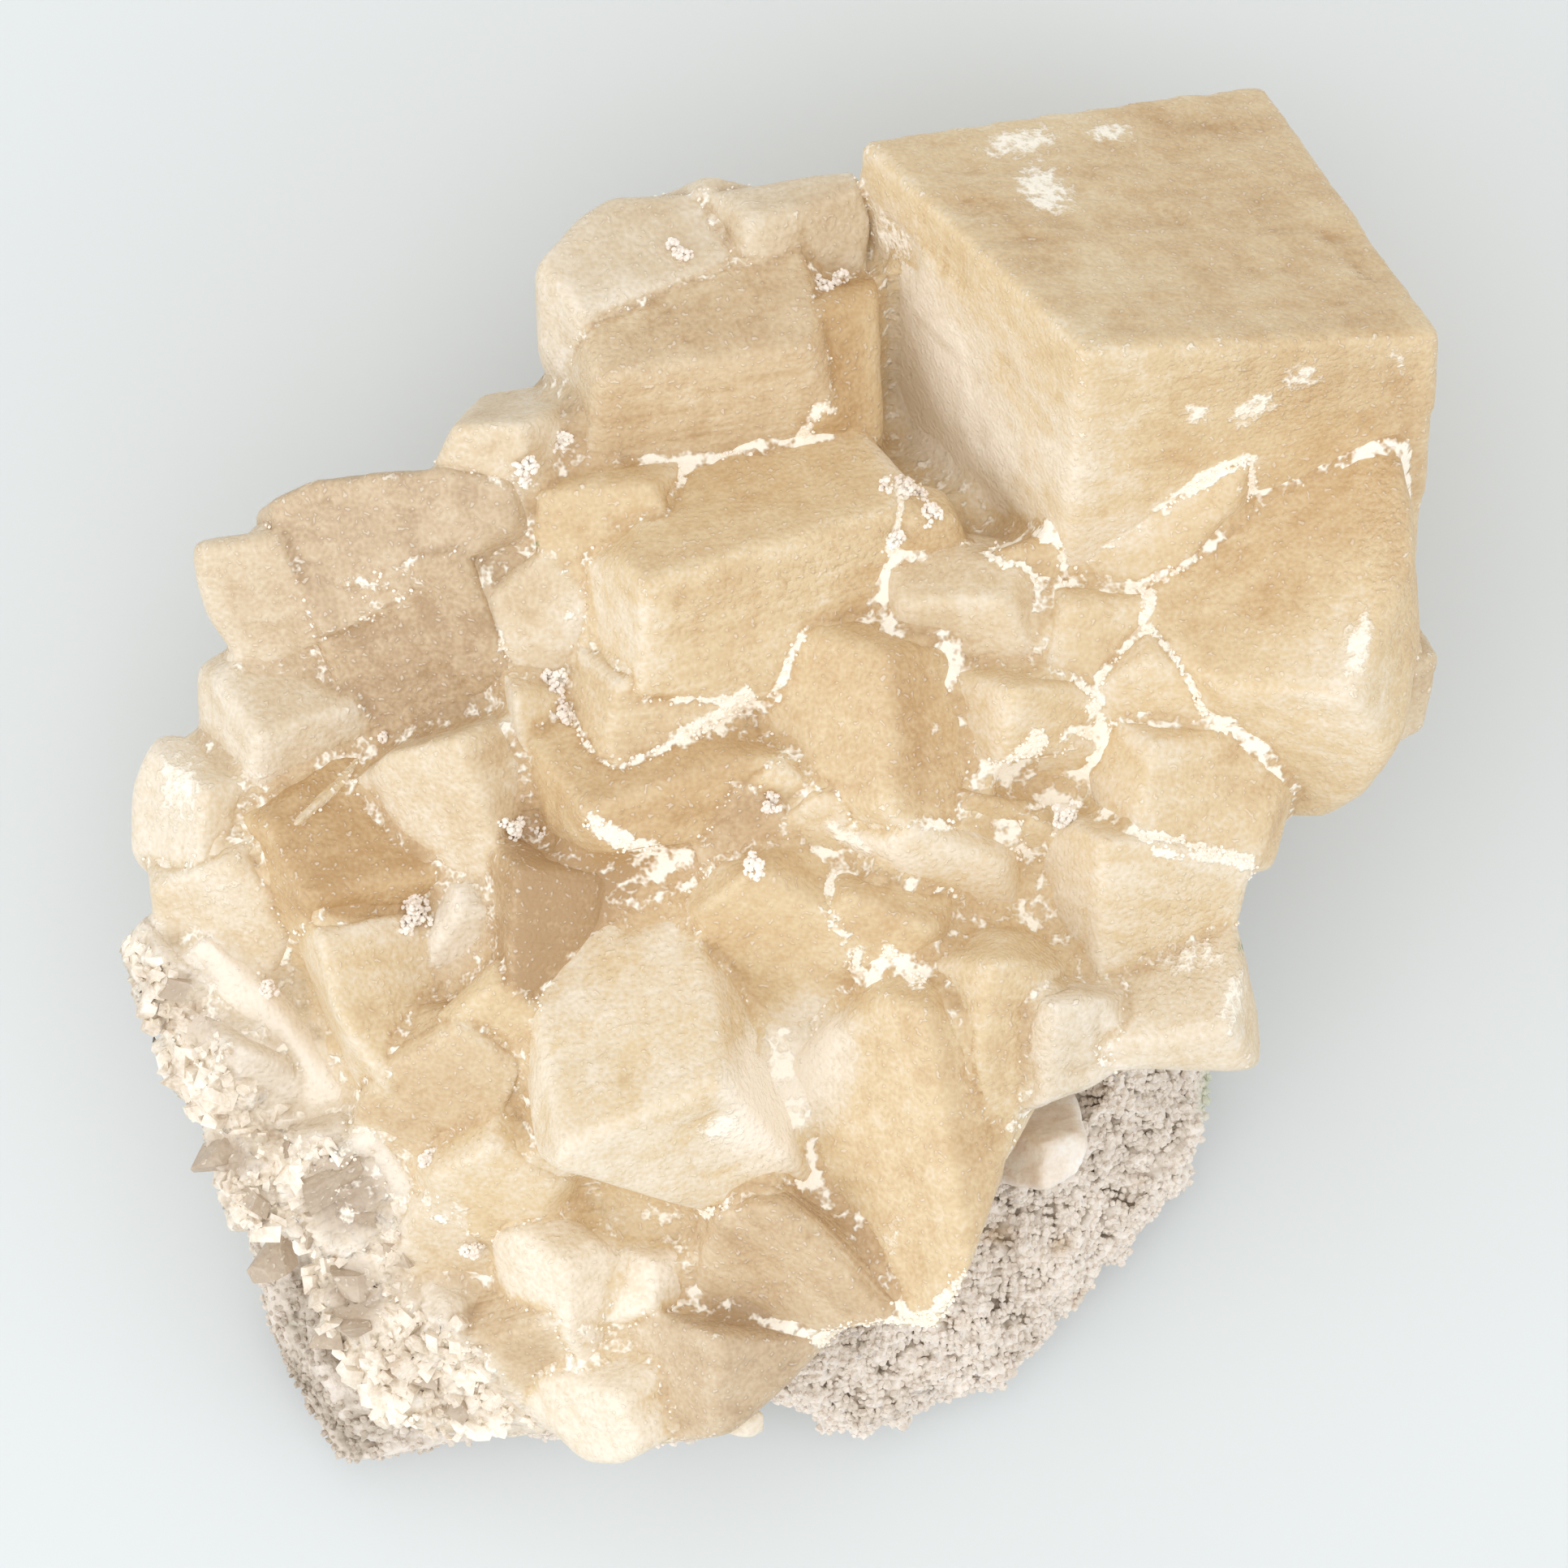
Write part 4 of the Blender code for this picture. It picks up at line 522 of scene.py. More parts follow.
def settleCrystals(table):    # turn, raise and lower them until neighbours meet at their seams
    meetings = seamMeetings(table)
    edges = {name: cornerEdges(row[1]) for name, row in table.items()}
    faces = {name: facesOf(found) for name, found in edges.items()}
    tops = {name: row[0][2] for name, row in table.items()}
    for step in crystalForm["settleSteps"]:
        turns = smallTurns(step)
        for name, row in table.items():
            beside = [(x, y, tops[other] - depthBelow(table[other][0], faces[other], x, y))
                      for x, y, other in meetings[name]]
            least = strain(row, edges[name], tops[name], beside)
            for _ in range(crystalForm["settleTries"]):
                trials = [([turn @ edge for edge in edges[name]], tops[name]) for turn in turns]
                lift = crystalForm["lift"] * step
                trials += [(edges[name], tops[name] + lift), (edges[name], tops[name] - lift)]
                costs = [strain(row, *trial, beside) for trial in trials]
                cost = min(costs)
                if cost > least - 1e-6:
                    break
                least = cost
                edges[name], tops[name] = trials[costs.index(cost)]
            faces[name] = facesOf(edges[name])
    return edges, tops


def cutAway(point, outward):
    bpy.ops.mesh.select_all(action="SELECT")
    bpy.ops.mesh.bisect(plane_co=point * mm, plane_no=outward, use_fill=True, clear_outer=True, threshold=1e-7)


def softenEdges(width):
    bpy.ops.mesh.select_all(action="SELECT")
    bpy.ops.mesh.bevel(offset=width * mm, segments=3, profile=0.6, clamp_overlap=True)


def freeCrystal(name, corner, plan, soft):
    edges = edgeDrops(plan)
    bpy.ops.mesh.primitive_cube_add(size=1, location=(0, 0, 0))
    piece = settle(name)
    across = Matrix([edges[0], edges[1], edges[2]]).transposed().to_4x4()
    shape = Matrix.Translation(corner) @ across @ Matrix.Translation((0.5, 0.5, 0.5))
    piece.data.transform(Matrix.Scale(mm, 4) @ shape)
    if name == "giant":
        normal = edges[0].cross(edges[1])
        shift = crystalForm["farShift"]
        fall = -(normal.x * shift[0] + normal.y * shift[1]) / normal.z
        far = corner + edges[0] + edges[1]
        for vert in piece.data.vertices:
            if (vert.co - far * mm).length < 1e-5:
                vert.co += Vector((*shift, fall)) * mm
            elif (vert.co - (far + edges[2]) * mm).length < 1e-5:
                vert.co += Vector((*shift, 0.0)) * mm
    bpy.ops.object.mode_set(mode="EDIT")
    faceOutward()
    softenEdges(soft)
    bpy.ops.object.mode_set(mode="OBJECT")
    return piece, edges


def seamedCrystal(name, corner, edges, soft, seams, others, lap):    # a block cut along its seams and its faces
    middle = sum((Vector((*seam, 0.0)) for seam in seams), Vector()) / len(seams)
    reach = max((Vector((*seam, 0.0)) - middle).length for seam in seams) + crystalForm["margin"]
    low, high = crystalForm["depth"]
    floor = max(corner.z - min(max(1.5 * reach, low), high), crystalForm["lowest"])
    height = corner.z + crystalForm["headroom"] - floor
    bpy.ops.mesh.primitive_cube_add(size=1, location=(middle.x * mm, middle.y * mm, (floor + height / 2) * mm),
                                    scale=(2 * reach * mm, 2 * reach * mm, height * mm))
    piece = settle(name)
    bpy.ops.object.mode_set(mode="EDIT")
    around = [seams[number] for number in convex_hull_2d([Vector(seam) for seam in seams])]
    turn = sum(a[0] * b[1] - b[0] * a[1] for a, b in nextOf(around))
    around = around if turn > 0 else around[::-1]
    faces = facesOf(edges)
    for start, end in nextOf(around):
        along = Vector((end[0] - start[0], end[1] - start[1], 0.0)).normalized()
        outward = Vector((along.y, -along.x, 0.0))
        halfway = Vector(((start[0] + end[0]) / 2, (start[1] + end[1]) / 2, 0.0))
        beyond = halfway + crystalForm["beyond"] * outward
        halfway.z = corner.z - depthBelow(corner, faces, halfway.x, halfway.y)
        side = halfway + lap * outward
        if any(touches(theirs, beyond.x, beyond.y) for theirs in others if theirs is not seams):
            cutAway(side, (outward + Vector((0, 0, crystalForm["spread"]))).normalized())
            side += crystalForm["skirt"] * outward
        cutAway(side, (outward - Vector((0, 0, crystalForm["lean"]))).normalized())
    for normal in faces:
        cutAway(corner, normal)
    softenEdges(soft)
    bpy.ops.object.mode_set(mode="OBJECT")
    bpy.ops.object.transform_apply(location=True, rotation=True, scale=True)
    return piece


def addDisplace(piece, kind, size, strength, **extra):    # size and strength in mm
    texture = bpy.data.textures.new(f"{piece.name}{kind.title()}", kind)
    texture.noise_scale = size * mm
    for key, value in extra.items():
        setattr(texture, key, value)
    wave = piece.modifiers.new("wave", "DISPLACE")
    wave.texture = texture
    wave.texture_coords = "LOCAL"
    wave.strength = strength * mm
    wave.mid_level = 0.5


def addRemesh(piece, voxel):    # voxel in mm
    remesh = piece.modifiers.new("remesh", "REMESH")
    remesh.mode = "VOXEL"
    remesh.voxel_size = voxel * mm
    remesh.use_smooth_shade = True


def addSoften(piece, rounds):
    smooth = piece.modifiers.new("soften", "SMOOTH")
    smooth.factor = 0.5
    smooth.iterations = rounds


def applyAll(piece):
    selectOnly([piece])
    for modifier in list(piece.modifiers):
        bpy.ops.object.modifier_apply(modifier=modifier.name)
    bpy.ops.object.shade_smooth()


def readValues(items, field, kind=np.float32, width=1):
    values = np.empty(len(items) * width, kind)
    items.foreach_get(field, values)
    return values


def readVectors(items, field):
    return readValues(items, field, width=3).reshape(-1, 3)


def writePlaces(piece, places):
    piece.data.vertices.foreach_set("co", places.ravel())
    piece.data.update()


def cornersOf(mesh):    # each face as a list of its points
    return [list(face.vertices) for face in mesh.polygons]


def writeLayer(mesh, name, values, kind="FLOAT", domain="POINT"):
    layer = mesh.attributes.new(name, kind, domain)
    values = np.ascontiguousarray(values, np.float32).ravel()
    layer.data.foreach_set("vector" if kind == "FLOAT_VECTOR" else "value", values)


def evenOut(mesh, values, rounds):    # blend values on points with their neighbours'
    a, b = readValues(mesh.edges, "vertices", np.int32, 2).reshape(-1, 2).T
    count = len(mesh.vertices)
    links = np.maximum(np.bincount(a, minlength=count) + np.bincount(b, minlength=count), 1)
    for _ in range(rounds):
        values = (np.bincount(a, values[b], count) + np.bincount(b, values[a], count)) / links
    return values


def evenPlaces(mesh, places, rounds):
    return np.stack([evenOut(mesh, places[:, axis], rounds) for axis in range(3)], 1)


def bendOf(piece, rounds):    # how far each point stands above its smoothed surroundings, in mm
    places = readVectors(piece.data.vertices, "co")
    normals = readVectors(piece.data.vertex_normals, "vector")
    smooth = evenPlaces(piece.data, places.astype(float), rounds)
    return ((places - smooth) * normals).sum(1) / mm


def lineDistance(places, line):    # in mm, seen from above
    flat = places[:, :2] / mm
    best = np.full(len(flat), 1e3)
    for start, end in zip(line, line[1:]):
        start, along = np.array(start), np.array(end) - np.array(start)
        share = np.clip((flat - start) @ along / (along @ along), 0, 1)
        best = np.minimum(best, np.linalg.norm(flat - start - share[:, None] * along, axis=1))
    return best


def spotMask(places, spots):    # 1 in the middle of a spot, 0 at its edge
    flat = places[:, :2] / mm
    best = np.zeros(len(flat))
    for x, y, long, wide, turn, strength in spots:
        c, s = math.cos(math.radians(turn)), math.sin(math.radians(turn))
        u = ((flat[:, 0] - x) * c + (flat[:, 1] - y) * s) / long
        v = (-(flat[:, 0] - x) * s + (flat[:, 1] - y) * c) / wide
        best = np.maximum(best, strength * np.clip(1.3 - np.hypot(u, v), 0, 1))
    return best


# each crystal's own deeper or paler zones, and painted light on the giant's left face and at its shaded foot
def zoneTintAndPaintedLight(places):
    return sum(amount * spotMask(places, [(*zone, 1.0)]) for *zone, amount in tintAndPaintedLightZones)


def describe(name, piece, edges, tint, dice):    # what a crystal leaves behind once it is melted into its group
    axes = np.array([list(edge.normalized()) for edge in edges]).T
    # painted shade: each face's tint is darkened by the way it turns, towards the upper right and when it lies flat
    side = [0.7 * (face.normal.x + face.normal.y) * crystalForm["sideTint"]
            + max(face.normal.z - 0.5, 0) * crystalForm["topTint"] for face in piece.data.polygons]
    return {"verts": [tuple(vert.co) for vert in piece.data.vertices],
            "faces": cornersOf(piece.data),
            "tints": [tint + more for more in side],
            "grey": greyCrystals.get(name, 0.0), "stripe": stripedCrystals.get(name, 0.0),
            "turn": np.linalg.inv(axes),
            "start": np.array([dice.uniform(0, crystalForm["grainStart"]) for _ in range(3)])}


def gather(described):    # one tree of all crystal faces, and whose each face is
    verts, faces, owners = [], [], []
    for number, crystal in enumerate(described):
        faces += [[index + len(verts) for index in face] for face in crystal["faces"]]
        owners += [number] * len(crystal["faces"])
        verts += crystal["verts"]
    return {"tree": BVHTree.FromPolygons(verts, faces), "owners": np.array(owners), "crystals": described,
            "tints": np.array([tint for crystal in described for tint in crystal["tints"]])}


def crustOf(places, normals, seam, owner, grown):    # where the seams carry white crust, from 0 to 1
    form = crustForm
    height = places[:, 2] / mm
    crust = form["seam"] * seam * np.clip((height - form["from"]) / (form["full"] - form["from"]), 0, 1)
    bridged, wider = form["gap"]
    for half, line in crustLines:
        strong = np.clip(form["core"] - lineDistance(places, line) / form["wander"], 0, 1)
        strong = strong * (normals[:, 2] > 0.0) * (places[:, 2] > form["lineFrom"] * mm)
        for number in np.flatnonzero(strong > 0).tolist():
            found = grown["tree"].find_nearest_range(places[number].tolist(), form["reach"] * mm)
            others = [far for _, _, face, far in found if grown["owners"][face] != owner[number]]
            gap = min(others, default=form["reach"] * mm) / mm    # to the neighbour
            crust[number] = max(crust[number], strong[number] * (form["most"] - gap / (bridged + wider * half)))
    for half, line in crustPockets:
        filled = np.clip(form["core"] - lineDistance(places, line) / half, 0, 1) * (normals[:, 2] > 0.2)
        crust = np.maximum(crust, form["pocket"] * filled)
    return np.clip(crust, 0, 1)


def markSurface(piece, grown):    # give each point what the material needs to know
    mesh = piece.data
    places = readVectors(mesh.vertices, "co")
    normals = readVectors(mesh.vertex_normals, "vector")
    loops = readValues(mesh.loops, "vertex_index", np.int32)
    sizes = readValues(mesh.polygons, "loop_total", np.int32)
    shares = np.maximum(np.bincount(loops, minlength=len(places)), 1)

    def toPoints(faceValues):
        return np.bincount(loops, np.repeat(faceValues, sizes), len(places)) / shares

    centres = readVectors(mesh.polygons, "center")
    nearest = np.array([grown["tree"].find_nearest(centre)[2] for centre in centres.tolist()])
    faceOwner = grown["owners"][nearest]
    mean = toPoints(faceOwner.astype(float))
    mixed = (toPoints(faceOwner.astype(float) ** 2) - mean ** 2 > 1e-6).astype(float)
    seam = np.clip(1.6 * evenOut(mesh, mixed, 1), 0, 1)
    bend = bendOf(piece, 5)
    pointOwner = np.rint(mean).astype(int)
    crust = crustOf(places, normals, seam, pointOwner, grown)
    greys = np.array([crystal["grey"] for crystal in grown["crystals"]])
    stripes = np.array([crystal["stripe"] for crystal in grown["crystals"]])
    # tint carries each crystal's own tint with painted shade by face direction and the zones' painted light; hollow,
    # edge and rim become painted shade, a painted highlight and a painted glow in the material
    tints = evenOut(mesh, toPoints(grown["tints"][nearest]), crystalForm["tintRounds"])
    layers = {"tint": tints + zoneTintAndPaintedLight(places), "grey": evenOut(mesh, toPoints(greys[faceOwner]), 1),
              "stripe": evenOut(mesh, toPoints(stripes[faceOwner]), 1), "crust": crust,
              "edge": np.clip(bend / crystalForm["bend"], 0, 1), "hollow": np.clip(-bend / crystalForm["bend"], 0, 1),
              "chalk": spotMask(places, chalkSpots) * np.clip(normals[:, 2] * 4, 0, 1),
              "broken": brokenMask(places), "smoky": spotMask(places, smokySpots),
              "rim": np.clip(2.2 * evenOut(mesh, mixed, crystalForm["rimRounds"]), 0, 1),
              "ripple": spotMask(places, rippleZones), "green": spotMask(places, greenSpots)}
    for name, values in layers.items():
        writeLayer(mesh, name, values)
    ownGrain = ownPlaces(places[loops], np.repeat(faceOwner, sizes), grown)
    writeLayer(mesh, "grain", ownGrain, "FLOAT_VECTOR", "CORNER")
    if piece.name != "crystalRoots":
        crustPlaces.append(np.concatenate([places, crust[:, None]], 1)[crust > crustForm["least"]])


crustPlaces = []    # where the crust's grains will sit: place and crust of each point


def insideLine(places, line):    # 1 inside a closed line seen from above, 0 outside
    x, y = (places[:, :2] / mm).T
    inside = np.zeros(len(places), bool)
    for (ax, ay), (bx, by) in nextOf(line):
        if ay != by:
            inside ^= ((ay > y) != (by > y)) & (x < (bx - ax) * (y - ay) / (by - ay) + ax)
    return inside.astype(float)


def brokenMask(places):    # 1 in the broken calcite, falling to 0 over a mm at its border
    inside = insideLine(places, brokenLine)
    border = np.clip(lineDistance(places, brokenLine + brokenLine[:1]) / 1.2, 0, 1)
    return np.clip(0.5 + (inside - 0.5) * border, 0, 1)


def growTogether(name, crystals, grown):
    selectOnly(crystals)
    if len(crystals) > 1:
        bpy.ops.object.join()
    piece = settle(name)
    bpy.ops.object.duplicate()
    sharp = settle("sharpForm")    # the melted crystals are drawn back onto their true faces
    selectOnly([piece])
    addRemesh(piece, crystalForm["voxel"].get(name, crystalForm["voxel"]["others"]))
    snap = piece.modifiers.new("snap", "SHRINKWRAP")
    snap.wrap_method = "NEAREST_SURFACEPOINT"
    snap.target = sharp
    addSoften(piece, crystalForm["soften"])
    for size, relief, octaves in crystalForm["waves"]:
        addDisplace(piece, "CLOUDS", size, relief, noise_depth=octaves)
    applyAll(piece)
    bpy.data.objects.remove(sharp, do_unlink=True)
    owner = grown["owners"][[grown["tree"].find_nearest(vert.co)[2] for vert in piece.data.vertices]]
    wearRidges(piece, owner)
    cleave(piece, owner, grown)
    roughen(piece)
    markSurface(piece, grown)
    tell(piece, f"{len(crystals)} crystals")
    return piece


def ownPlaces(places, owner, grown):    # in mm along each crystal's own three edges
    turns = np.array([crystal["turn"] for crystal in grown["crystals"]])
    starts = np.array([crystal["start"] for crystal in grown["crystals"]])
    return np.einsum("nij,nj->ni", turns[owner], places / mm) + starts[owner]


def blockChance(cells, salt):    # a steady random number for each block
    return np.modf(np.abs(np.sin(cells @ np.array([12.9898, 78.233, 37.719]) + salt) * 43758.5453))[0]


def cleave(piece, owner, grown):    # blocks along a crystal's edges stand proud or sunk, as calcite cleaves
    places = readVectors(piece.data.vertices, "co").astype(float)
    normals = readVectors(piece.data.vertex_normals, "vector")
    spots = ownPlaces(places, owner, grown)
    broken = brokenMask(places)
    push = np.zeros(len(places))
    for size, share, sound, wild in crystalForm["blocks"]:    # mm, share of blocks, relief where sound and broken
        cells = np.floor(spots / size)
        moved = blockChance(cells, size) < share + (1 - share) * broken
        push += moved * (blockChance(cells, size + 7) - 0.6) * (sound + (wild - sound) * broken)
    push = evenOut(piece.data, push, 1)
    writePlaces(piece, places + normals * (push * mm)[:, None])


def wearRidges(piece, owner):    # etching has rounded a crystal's own ridges, while the seams stay narrow
    mesh = piece.data
    places = readVectors(mesh.vertices, "co").astype(float)
    blend = evenOut(mesh, owner.astype(float), 1)
    seam = np.clip(4 * evenOut(mesh, (np.abs(blend - owner) > 1e-6).astype(float), 3), 0, 1)
    ridge = np.clip(3 * evenOut(mesh, np.clip(bendOf(piece, 6) / crystalForm["ridge"], -1, 1), 2), 0, 1)
    soft = evenPlaces(mesh, places, crystalForm["wear"])
    places += (soft - places) * evenOut(mesh, ridge * (1 - seam), 2)[:, None]
    writePlaces(piece, places)


def addRelief(piece, amount, waves):    # kind, size, strength in mm and extras of each wave, by a share for each point
    group = piece.vertex_groups.new(name="relief")
    for number, weight in enumerate(amount.tolist()):
        group.add([number], weight, "REPLACE")
    for kind, size, strength, extra in waves:
        addDisplace(piece, kind, size, strength, **extra)
    for modifier in piece.modifiers:
        modifier.vertex_group = group.name
    applyAll(piece)
    piece.vertex_groups.clear()


def roughen(piece):    # where it broke, the calcite is ragged and sugary
    places = readVectors(piece.data.vertices, "co")
    amount = brokenMask(places) * (1 - 0.75 * np.clip(spotMask(places, smokySpots), 0, 1))
    if amount.max() > 0.01:
        addRelief(piece, amount, [("CLOUDS", *wave) for wave in crystalForm["ragged"]])


def tell(piece, note=""):
    print(f"{piece.name}: {sum(len(face.vertices) - 2 for face in piece.data.polygons)} triangles", note)


giantNotch = {"at": (10.6, 49.8), "size": (6.0, 3.6, 1.3)}    # mm: place seen from above, length, width, depth


def cutNotch(piece, corner, edges):    # the bright chip near the giant's left corner, along its own edges
    along, down = edges[1].normalized(), edges[2].normalized()
    normal = edges[1].cross(edges[2]).normalized()
    normal = -normal if normal.dot(edges[0]) > 0 else normal
    x, y = giantNotch["at"]
    z = corner.z - (normal.x * (x - corner.x) + normal.y * (y - corner.y)) / normal.z
    bpy.ops.object.select_all(action="DESELECT")
    bpy.ops.mesh.primitive_cube_add(size=1, location=(0, 0, 0))
    cutter = settle("notchCutter")
    long, wide, deep = giantNotch["size"]
    frameOf = Matrix([along * long, down * wide, (normal - 0.25 * down).normalized() * deep * 2]).transposed().to_4x4()
    cutter.data.transform(Matrix.Scale(mm, 4) @ Matrix.Translation((x, y, z)) @ frameOf)
    bpy.ops.object.mode_set(mode="EDIT")
    faceOutward()
    bpy.ops.object.mode_set(mode="OBJECT")
    notch = piece.modifiers.new("notch", "BOOLEAN")
    notch.operation = "DIFFERENCE"
    notch.object = cutter
    selectOnly([piece])
    bpy.ops.object.modifier_apply(modifier="notch")
    bpy.data.objects.remove(cutter, do_unlink=True)


def buildCrystals():
    dice = random.Random(5)
    spread = random.Random(23)
    table = {name: row for members in crystalTable.values() for name, row in members.items()}
    edgesOf, tops = settleCrystals(table)
    allSeams = [row[4] for row in table.values()]
    print("crystals turned and raised until they meet")
    groups, described = {group: [] for group in crystalTable}, []
    bpy.ops.object.select_all(action="DESELECT")
    for group, members in crystalTable.items():
        for name, (corner, plan, soft, tint, seams) in members.items():
            lap = crystalForm["lap"] * dice.uniform(0.6, 1.4)
            place = Vector((corner[0], corner[1], tops[name]))
            piece = seamedCrystal(name, place, edgesOf[name], soft, seams, allSeams, lap)
            groups[group].append(piece)
            described.append(describe(name, piece, edgesOf[name], tint, spread))
    for name, (corner, plan, soft, tint, group) in freeTable.items():
        piece, edges = freeCrystal(name, Vector(corner), plan, soft)
        if name == "giant":
            cutNotch(piece, Vector(corner), edges)
        groups[group].append(piece)
        described.append(describe(name, piece, edges, tint, spread))
    grown = gather(described)
    return [growTogether(group, made, grown) for group, made in groups.items()], grown


def copyOfNode(node, name):    # a CAD node's copy, its loose triangles merged
    selectOnly([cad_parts[node]])
    bpy.ops.object.duplicate()
    piece = settle(name)
    for key in list(piece.keys()):
        del piece[key]
    piece.parent = None
    bpy.ops.object.mode_set(mode="EDIT")
    bpy.ops.mesh.select_all(action="SELECT")
    bpy.ops.mesh.remove_doubles(threshold=1e-6)
    bpy.ops.object.mode_set(mode="OBJECT")
    return piece


rootForm = {"shrink": 0.5, "voxel": 1.45, "wave": 0.5}    # mm


def buildRoots(grown):    # the mass between and under the crystals, from the solid itself
    piece = copyOfNode("calcite_cluster", "crystalRoots")
    addRemesh(piece, rootForm["voxel"])
    shrink = piece.modifiers.new("shrink", "DISPLACE")
    shrink.strength = -rootForm["shrink"] * mm
    shrink.mid_level = 0.0
    addSoften(piece, 2)
    addDisplace(piece, "CLOUDS", 4, rootForm["wave"], noise_depth=2)
    applyAll(piece)
    markSurface(piece, grown)
    tell(piece)
    return piece


rockForm = {
    "voxel": 0.74,
    "bend": 0.3,             # mm that a full edge stands out, or a full hollow lies in
    "cavernous": (0.38, 0.62, 0.28),    # share of the relief all over, more at the lower right, less at the lower left
    "waves": [("CLOUDS", 5, 1.0, {"noise_depth": 2}),    # size and relief in mm
              ("CLOUDS", 2.8, 3.0, {"noise_depth": 1, "noise_type": "HARD_NOISE"}),
              ("VORONOI", 1.9, 1.0, {})],
    "ochre": [(20, -42, 2, 1.6, 0, 0.8), (26, -43, 1.6, 1.3, 0, 0.8), (28, -48, 2, 1.2, 30, 0.7),
              (16, -50, 2.4, 1.4, 0, 0.5), (33, -37, 1.6, 1.2, 0, 0.5), (-40, -49, 1.4, 1, 0, 0.7)],
    "dull": [(-44, -56, 14, 16, 0, 1.0)],
    "green": [(40, -29, 1.6, 4, 0, 1.0), (42.4, -14, 1.2, 3, 0, 0.8), (-46, -50.5, 1.2, 0.8, 0, 0.5)],
}


def buildRock():
    piece = copyOfNode("matrix_rock", "matrixRock")
    addRemesh(piece, rockForm["voxel"])
    applyAll(piece)
    x, y, _ = readVectors(piece.data.vertices, "co").T / mm
    base, more, less = rockForm["cavernous"]
    cavernous = base + more * np.clip((x + 14) / 10, 0, 1) * np.clip((6 - y) / 10, 0, 1)
    cavernous -= less * np.clip((-26 - x) / 8, 0, 1) * np.clip((-34 - y) / 8, 0, 1)
    addRelief(piece, cavernous, rockForm["waves"])
    places = readVectors(piece.data.vertices, "co")
    places[:, 2] = np.maximum(places[:, 2], 0)    # it lies flat
    writePlaces(piece, places)
    bend = bendOf(piece, 4)
    # the rock's edges and hollows; the hollow becomes painted shade in the pits
    for name, sign in (("edge", 1), ("hollow", -1)):
        writeLayer(piece.data, name, np.clip(sign * bend / rockForm["bend"], 0, 1))
    markStains(piece)
    tell(piece)
    return piece


def markStains(piece):
    places = readVectors(piece.data.vertices, "co")
    for name in ("ochre", "green", "dull"):
        writeLayer(piece.data, name, spotMask(places, rockForm[name]))


paleForm = {"voxel": 0.3, "soften": 40, "waves": [(2.4, 0.4, 2), (0.7, 0.15, 1)]}    # size and relief in mm, octaves


def buildPale():    # the lone rounded crystal on the rock
    piece = copyOfNode("pale_crystal", "paleCrystal")
    addRemesh(piece, paleForm["voxel"])
    addSoften(piece, paleForm["soften"])
    for size, relief, octaves in paleForm["waves"]:
        addDisplace(piece, "CLOUDS", size, relief, noise_depth=octaves)
    applyAll(piece)
    tell(piece)
    return piece


grainForm = {
    "crustSize": (0.1, 0.24), "crustShare": 8.8 * 0.23,    # mm, and grains for each point where it is full
    "tuftSize": (0.15, 0.32), "tuftCount": 90,             # for a tuft of 1 mm
    "druseSize": (0.2, 0.5), "druseCount": 6600,
    "druseShares": (0.35, 0.65), "druseFrom": 1.2,         # all over, more at the lower right, mm above the shelf
    "druseSlope": -0.2, "druseLowest": 0.9,                # least upward lean of the rock, lowest grain in mm
    "shardSize": (0.5, 3.0), "shardCount": 900, "shardSunk": 0.28,    # of its size
    "shardFrom": 12,                                       # mm above the shelf
    "remnantSunk": 0.34,
    "remnantLayers": {"smoky": 0.85, "broken": 0.5, "tint": 0.25, "grey": 0.8},
}


def takeShape(grain):
    shape = readVectors(grain.data.vertices, "co"), cornersOf(grain.data)
    bpy.data.objects.remove(grain, do_unlink=True)
    return shape


def modelGrain(name, seed):    # one blunt grain a unit across, to be repeated
    bpy.ops.object.select_all(action="DESELECT")
    bpy.ops.mesh.primitive_ico_sphere_add(subdivisions=1, radius=1)
    grain = settle(name)
    bpy.ops.object.mode_set(mode="EDIT")
    bpy.ops.mesh.select_all(action="SELECT")
    bpy.ops.transform.vertex_random(offset=0.25, seed=seed)
    bpy.ops.object.mode_set(mode="OBJECT")
    return takeShape(grain)


def modelSplinter(name, seed):    # a cleavage splinter, about a unit long, some corners broken off
    dice = random.Random(seed)
    bpy.ops.object.select_all(action="DESELECT")
    bpy.ops.mesh.primitive_cube_add(size=1)
    splinter = settle(name)
    lengths = (1.0, dice.uniform(0.5, 0.9), dice.uniform(0.3, 0.7))
    edges = [edge * long for edge, long in zip(next(cornerKinds()), lengths)]
    splinter.data.transform(Matrix(edges).transposed().to_4x4())
    bpy.ops.object.mode_set(mode="EDIT")
    for _ in range(4):
        way = Vector([dice.gauss(0, 1) for _ in range(3)]).normalized()
        bpy.ops.mesh.select_all(action="SELECT")
        bpy.ops.mesh.bisect(plane_co=way * dice.uniform(0.2, 0.4), plane_no=way, use_fill=True, clear_outer=True)
    faceOutward()
    bpy.ops.object.mode_set(mode="OBJECT")
    return takeShape(splinter)


